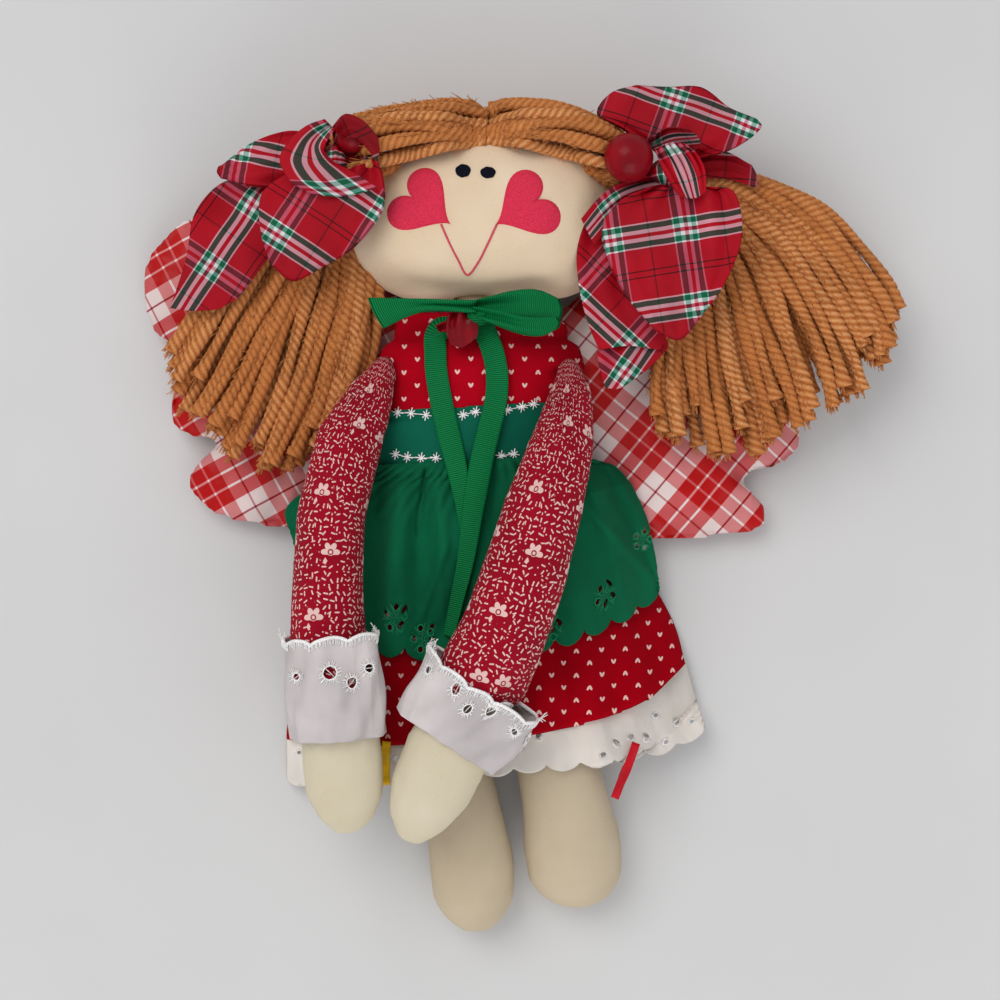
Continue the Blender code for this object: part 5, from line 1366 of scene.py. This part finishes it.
def bow_loop(name, edges, height, puff, pleats, pattern, wear, node, turn_back, cells):
    """A loop of ribbon: out from the knot between its edges, over at the tip, and back under itself."""
    bm, shares = grid(*cells)
    u, v = shares.T
    if turn_back:
        v = 1 - np.abs(2 * v - 1)
    points = patch(np.column_stack([u, v]), *edges)
    full = np.sqrt(np.clip(np.sin(np.clip(v, 0, 1) * math.pi * 0.5 + 0.25), 0, 1))
    lens = 1 - 0.45 * (2 * np.abs(u - 0.5)) ** 2.5
    if turn_back:
        lens *= (0.5 + 0.5 * full) * np.minimum(1, 1.6 * (1 - v) ** 0.5 + 0.15)
    points[:, 2] += puff * lens * (np.cos(shares[:, 1] * math.pi) if turn_back else np.sin(v * math.pi))
    points[:, 2] += 0.0022 * np.clip(1 - v * 1.15, 0, 1) ** 2 * np.cos(u * TURN * pleats)
    flutes = np.sin(u * TURN * (pleats + 0.5) + pleats)
    points[:, 2] += 0.0010 * flutes * (1 - v) ** 0.7 * np.clip(v * 3, 0, 1)
    points[:, 2] += ripples(points, 60, 0.0028, 1.0) * np.clip(v * 2, 0, 1)
    if len(pattern) == 2:
        flat = np.column_stack([(u - 0.5) * pattern[0], v * pattern[1]])
    else:
        flat = turned(points, seen(*pattern[:2], height), pattern[2])[:, ::-1]
    piece = new_piece(bm, name, wear, [node] if node else [], points, flat)
    length = line_length(on_line(edges[0], np.linspace(0, 1, 20))) * (2 if turn_back else 1)
    as_sheet(piece, length=length, depth=0.0005)


def make_bow(pieces, body, cells):
    for name, (*shape, height, puff, pleats, pattern, finish, node, turn_back) in pieces.items():
        edges = [to_world(edge, height) for edge in edges_of(*shape)]
        wear = (body, SLOTS[finish], finish)
        bow_loop(name, edges, height, puff, pleats, pattern, wear, node, turn_back, cells)


def pleated_knot(node, name, wear, axis, inset, height=None, pleats=9, depth=0.0009):
    """Ribbon drawn tight round a knot, with its gathers, along the middle of the CAD node's x or y axis."""
    low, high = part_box(node)
    ends = [(low + high) / 2 for _ in range(2)]
    ends[0][axis], ends[1][axis] = low[axis] + inset, high[axis] - inset
    for end in ends:
        end.z = height or end.z
    bm, points, flat = wrapped(node, *ends, 72, 26)
    start = np.array(ends[0])
    way = np.array(ends[1] - ends[0])
    length = np.linalg.norm(way)
    share = np.clip(((points - start) @ way) / length ** 2, 0, 1)
    centre = start + share[:, None] * way
    out = points - centre
    reach = np.linalg.norm(out, axis=1, keepdims=True)
    fold = np.abs(np.sin(share * math.pi * pleats * 0.5 + np.sin(flat[:, 0] / WRAP_RADIUS) * 0.8))
    shut = np.sqrt(np.clip(1 - (2 * share - 1) ** 2 * 0.96, 0, 1))
    folded = (np.minimum(reach, 0.03) - depth + depth * fold[:, None]) * shut[:, None]
    flat = np.column_stack([flat[:, 0] * 0.5, share * length])
    piece = new_piece(bm, name, wear, [node], centre + out / np.maximum(reach, 1e-6) * folded, flat, True)
    with edited(piece.data) as bm:
        bmesh.ops.holes_fill(bm, edges=[e for e in bm.edges if e.is_boundary], sides=0)
        bmesh.ops.recalc_face_normals(bm, faces=bm.faces)
    make_smooth(piece.data)


def make_hair_bows():
    make_bow(BOW_PIECES, "head_body", (44, 60))
    wear = ("head_body", "tartan", "tartan")
    pleated_knot("bow_left_knot", "left_bow_knot", wear, 0, 0.0008, 0.054)
    pleated_knot("bow_right_knot", "right_bow_knot", wear, 1, 0.0008, 0.051)


def laid_ribbon(name, line, width, wear, node, tree, lift=0.0, narrow=1.0):
    """A ribbon laid along a line on what lies there, narrower at its end where it turns on edge."""
    middle = np.array([list(p) for p in line])
    length = line_length(on_line(middle, np.linspace(0, 1, 60)))
    cells = 10
    bm, shares = grid(cells, max(12, int(length / 0.0012)))
    u, v = shares.T
    t = on_line(middle, np.clip(v + 0.02, 0, 1)) - on_line(middle, np.clip(v - 0.02, 0, 1))
    t[:, 2] = 0
    t /= np.linalg.norm(t, axis=1, keepdims=True)
    side = np.column_stack([-t[:, 1], t[:, 0], np.zeros(len(t))])
    seen_width = 1 + (narrow - 1) * np.clip((v - 0.55) / 0.45, 0, 1)
    across = (u - 0.5) * width
    points = drop(tree, on_line(middle, v) + side * (across * 0.98 * seen_width)[:, None], lift)
    ridge = points[:, 2].reshape(-1, cells + 1).max(axis=1)
    for _ in range(14):
        ridge[1:-1] = np.maximum(ridge[1:-1], (ridge[:-2] + ridge[2:]) / 2)
    for _ in range(10):
        ridge[1:-1] = (ridge[:-2] + 2 * ridge[1:-1] + ridge[2:]) / 4
    points[:, 2] = np.repeat(ridge, cells + 1)
    points[:, 2] += (u - 0.5) * 0.004 * (1 - seen_width) + 0.0005 * ((u - 0.5) * 2) ** 2 * np.sin(v * 9)
    piece = new_piece(bm, name, wear, [node], points, np.column_stack([across, v * length]))
    if width < GROSGRAIN_WIDTH:
        thicken(piece)
    else:
        as_sheet(piece, width=THINNEST_SHEET)


def make_neck_bow():
    make_bow(NECK_PIECES, "torso_body", (18, 48))
    wear = ("torso_body", "grosgrain", "grosgrain")
    pleated_knot("neck_knot", "neck_bow_knot", wear, 1, 0.0004, pleats=3, depth=0.0005)
    front = top_of("bodice_cloth", "waistband_cloth", "eyelet_apron")
    for node, name, line, lift, narrow in NECK_TAILS:
        laid_ribbon(name, to_world(line, 0.049), GROSGRAIN_WIDTH, wear, node, front, lift, narrow)
    bm, points, flat = wrapped("neck_ribbon", *[DOLL + Vector(place) for place in NECK_BAND], 72, 8)
    thicken(new_piece(bm, "neck_band", wear, ["neck_ribbon"], points, flat[:, ::-1], True))


def make_ribbon_ends():
    for node, (name, finish, slot, start, size, shares) in RIBBON_ENDS.items():
        line = [DOLL + Vector((start[0] + s[0] * size[0], start[1] + s[1] * size[1], 0.01)) for s in shares]
        laid_ribbon(name, line, END_WIDTH, ("torso_body", slot, finish), node, node_surface(node))


# Hair

# A strand's radius, one turn of its plies, and a fibre's radius
STRAND, PLY_PITCH, FIBRE = 0.0029, 0.0094, 0.00018
FUZZ_LOW = 0.0002                                        # clear of the table
# Each pigtail's edges in the picture (its two sides, and its cut end between them), and strands in a layer
PIGTAILS = {
    "left": (((335, 178), (290, 215), (235, 262), (196, 308), (167, 352)),
             ((350, 178), (368, 235), (374, 300), (366, 370), (342, 430)),
             ((186, 412), (222, 450), (262, 470), (302, 466)), 17),
    "right": (((683, 188), (668, 250), (655, 320), (650, 380), (657, 430)),
              ((697, 184), (750, 180), (808, 201), (856, 243), (892, 290), (906, 330)),
              ((690, 450), (733, 460), (778, 446), (818, 424), (846, 408), (866, 396), (888, 358)), 21),
}
# The layers of a pigtail: height, how far it is set in at its sides, and strands more
LAYERS = ((0.0366, 0.035, 0), (0.0312, 0.0, 1), (0.0258, 0.03, 0))
TIED_HEIGHT = 0.0385
CROWN_STRANDS, CROWN_MIDDLE = 38, 0.033


def plied(lines, name, body, node, seed):
    """Strands of three-ply yarn along these lines: nets rolled up and twisted, with loose cut ends."""
    rng = random.Random(seed)
    lines = [np.asarray(line, float) for line in lines]
    lengths = [line_length(on_line(line, np.linspace(0, 1, 30))) for line in lines]
    bm, parts = nets(12, [max(8, int(length / 0.00105)) for length in lengths])
    points = np.empty((len(bm.verts), 3))
    ply = np.empty(len(bm.verts))
    for (mine, turn, row), line, length in zip(parts, lines, lengths):
        steps = row.max() - 2
        along = np.clip((row - 1) / steps, 0, 1)
        shut = np.where((row == 0) | (row == steps + 2), 0.0, 1.0)
        side, up = across_line(line, along, 0.01)
        phase = rng.random() * 6.28
        ridge = np.sqrt(np.abs(np.cos(turn * 3 * math.pi)))
        thick = STRAND * (0.93 + 0.13 * np.sin(along * length * 150 + phase)) * (0.88 + 0.13 * ridge)
        thick = thick * (1 + 0.3 * np.clip((along - 0.95) / 0.05, 0, 1)) * shut
        u = turn * TURN + along * TURN * length / PLY_PITCH + phase
        u += 0.6 * np.sin(along * length * 110 + phase)
        out = side * np.cos(u)[:, None] + up * np.sin(u)[:, None]
        points[mine] = on_line(line, along) + out * thick[:, None]
        # Each point's place on a ply's ridge, for the painted shade between plies and the painted highlight
        # on them
        ply[mine] = np.clip(ridge * 0.8 + 0.2 * rng.random(), 0, 1)
    piece = new_piece(bm, name, (body, "yarn", "yarn"), [node], points)
    set_ply_shade(piece.data, ply)
    close_round(piece.data)
    make_fuzz(lines, name.replace("yarn", "fuzz"), body, rng)


def make_fuzz(lines, name, body, rng):
    """Loose fibres that stand off the yarn, and the tufts at its cut ends."""
    fibres = []
    for line in lines:
        gap = 0.00056 if line[:, 2].max() > 0.034 else 0.0015
        loose = [rng.random() for _ in range(int(line_length(line) / gap))]
        shares = np.array(loose + [1 - rng.random() * 0.012 for _ in range(16)])
        before, after = [on_line(line, np.clip(shares + step, 0, 1)) for step in (-0.03, 0.03)]
        for k, (start, way) in enumerate(zip(on_line(line, shares), after - before)):
            way = Vector(way).normalized()
            a = rng.uniform(0, TURN)
            out = way.cross(Vector((math.cos(a), math.sin(a), 0.35))).normalized()
            if k < len(loose):
                reach = rng.uniform(0.0008, 0.0026)
                start = Vector(start) + out * STRAND * 0.84
                lean = way * (reach * rng.uniform(-0.5, 2.2))
            else:
                reach = rng.uniform(0.0003, 0.0014)
                start = Vector(start) + out * STRAND * rng.random()
                lean = way * rng.uniform(0.001, 0.0042)
            fibres.append([start, start + out * reach * rng.uniform(0.3, 1.0) + lean])
    piece = threads(fibres, [FIBRE] * len(fibres), name, (body, "yarn", "yarn"), 1, 3)
    # The fibres take the lighter end of the yarn's colours, as painted highlight
    set_ply_shade(piece.data, np.random.default_rng(5).uniform(0.55, 1.0, len(piece.data.vertices)))
    points = points_of(piece.data)
    points[:, 2] = np.maximum(points[:, 2], FUZZ_LOW)
    set_points(piece.data, points)


def make_pigtails():
    for side, (first, last, end, count) in PIGTAILS.items():
        rng = random.Random(7 if side == "left" else 11)
        edges = [to_world(edge, 0.031) for edge in edges_of(first, last, end=end)]
        lines = []
        for layer, (height, inset, more) in enumerate(LAYERS):
            number = count + more
            odd = layer % 2
            for k in range(number):
                share = inset + (1 - 2 * inset) * (k + 0.5 * odd * 0.6) / (number - 1 + 0.3 * odd)
                share = min(max(share + rng.uniform(-0.020, 0.020), 0.0), 1.0)
                long = 1.0 - 0.15 * rng.random() ** 1.6 - 0.02 * abs(layer - 1)
                t = np.linspace(0.03, long, 12)
                line = patch(np.column_stack([np.full(12, share), t]), *edges)
                sway = rng.uniform(-0.0026, 0.0026)
                line[:, 0] += sway * np.sin(t * rng.uniform(3, 7) + k) * np.minimum(t * 3, 1)
                line[:, 2] = height + (TIED_HEIGHT - height) * np.clip(1 - t * 3.2, 0, 1)
                line[:, 2] += 0.0011 * np.sin(t * 9 + rng.uniform(0, 6))
                lines.append(line)
        seed = 21 if side == "left" else 22
        plied(lines, f"pigtail_yarn_{side}", f"pigtail_{side}_body", f"pigtail_{side}", seed)


def make_crown():
    """Strands over the head on both sides of the part, laid round the inside of their CAD form."""
    for side in SIDES:
        node = f"crown_{side}"
        low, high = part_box(node)
        tree = node_surface(node)
        rng = random.Random(5)
        tied, part = (low.x + 0.004, high.x - 0.0015) if side == "left" else (high.x - 0.004, low.x + 0.0015)
        middle = (low.y + high.y) / 2 + 0.003
        lines = []
        for k in range(CROWN_STRANDS):
            angle = TURN * k / CROWN_STRANDS + rng.uniform(-0.03, 0.03)
            line = []
            for t in np.linspace(0, 1, 13):
                centre = Vector((part + (tied - part) * t, middle - 0.006 * t, CROWN_MIDDLE))
                a = angle + 0.12 * math.sin(t * 3 + k)
                way = Vector((0, math.cos(a), math.sin(a)))
                hit = tree.ray_cast(centre + way * 0.09, -way)[0] or tree.find_nearest(centre + way * 0.02)[0]
                line.append(centre + way * max((hit - centre).length - STRAND * 0.9, 0.002))
            line = np.array([list(p) for p in line])
            line[:, 2] = np.maximum(line[:, 2], STRAND)
            lines.append(line)
        plied(lines, f"crown_yarn_{side}", "head_body", node, 31)


# Face and beads

# Each cheek's place, and how far its heart is turned
CHEEKS = {"left": ((-0.0212, 0.0693), 54.0), "right": ((0.0184, 0.0681), -59.0)}
CHEEK_SIZE = (0.0292, 0.0268)
# Each eye's place and size, and the mouth's line, in the picture
EYES = {"left_eye": (463, 170, 16.5, 15.0), "right_eye": (488, 172, 16.5, 13.0)}
MOUTH = ((441, 224), (449, 242), (458, 259), (467, 273), (477, 263), (487, 245), (497, 224))
FACE_HEIGHT, FACE_PIXEL = 0.058, 0.000406


def disc(name, tree, centre, outline, dome, finish, replaces, rings, around):
    """A thin domed shape laid on a surface: rings drawn in from an outline."""
    bm, shares = grid(around, rings)
    points = [centre + Vector((*outline(u * TURN), 0)) * v for u, v in shares]
    points = drop(tree, points, 0.0)
    v = shares[:, 1]
    points[:, 2] += dome * np.sqrt(np.clip(1 - v ** 4, 0, 1)) - 0.0003 * (v > 0.99)
    new_piece(bm, name, ("head_body", "felt", finish), replaces, points, rolled=True)


def heart_outline(degrees):
    width, height = CHEEK_SIZE
    c, s = math.cos(math.radians(degrees)), math.sin(math.radians(degrees))

    def edge(a):
        x = math.sin(a) ** 3 * width / 2
        y = 13 * math.cos(a) - 5 * math.cos(2 * a) - 2 * math.cos(3 * a) - math.cos(4 * a) + 2.5
        y = y / 14.5 * height / 2
        return (x * c - y * s, x * s + y * c)
    return edge


def eye_outline(wide, tall):
    """An uneven round, painted by hand."""
    return lambda a: (math.cos(a) * wide * FACE_PIXEL / 2 * (1 + 0.03 * math.sin(5 * a)),
                      math.sin(a) * tall * FACE_PIXEL / 2 * (1 + 0.04 * math.cos(7 * a)))


def make_face():
    head = top_of("head_pillow")
    for side, (place, turn) in CHEEKS.items():
        centre = DOLL + Vector((*place, 0.06))
        disc(f"felt_cheek_{side}", head, centre, heart_outline(turn), 0.0014, "cheek_felt",
             [f"cheek_{side}"], 10, 56)
    for name, (column, row, *size) in EYES.items():
        disc(name, head, seen(column, row, FACE_HEIGHT), eye_outline(*size), 0.0009, "eye_felt", [], 6, 32)
    line = drop(head, to_world(MOUTH, FACE_HEIGHT), 0.00015)
    threads([line], [0.00046], "mouth_stitch", ("head_body", "felt", "mouth_thread"), 50, 6)


def make_beads():
    for side in SIDES:
        node = f"bead_{side}"
        wear = ("head_body", "red_bead", "painted_wood")
        rounded(new_piece(node_mesh(node), f"painted_{node}", wear, [node]), 2)


def make_table():
    bm = bmesh.new()
    bmesh.ops.create_grid(bm, x_segments=2, y_segments=2, size=3.0)
    mesh = bpy.data.meshes.new("table")
    bm.to_mesh(mesh)
    bm.free()
    table = bpy.data.objects.new("table", mesh)
    table.data.materials.append(FINISHES["table_cloth"])
    bpy.context.scene.collection.objects.link(table)


make_camera()
make_light()
make_table()
make_stuffed()
make_bodice()
make_skirts()
for side in SIDES:
    make_cuff(side)
make_neck_bow()
make_ribbon_ends()
make_hair_bows()
make_pigtails()
make_crown()
make_beads()
make_face()
make_stars()
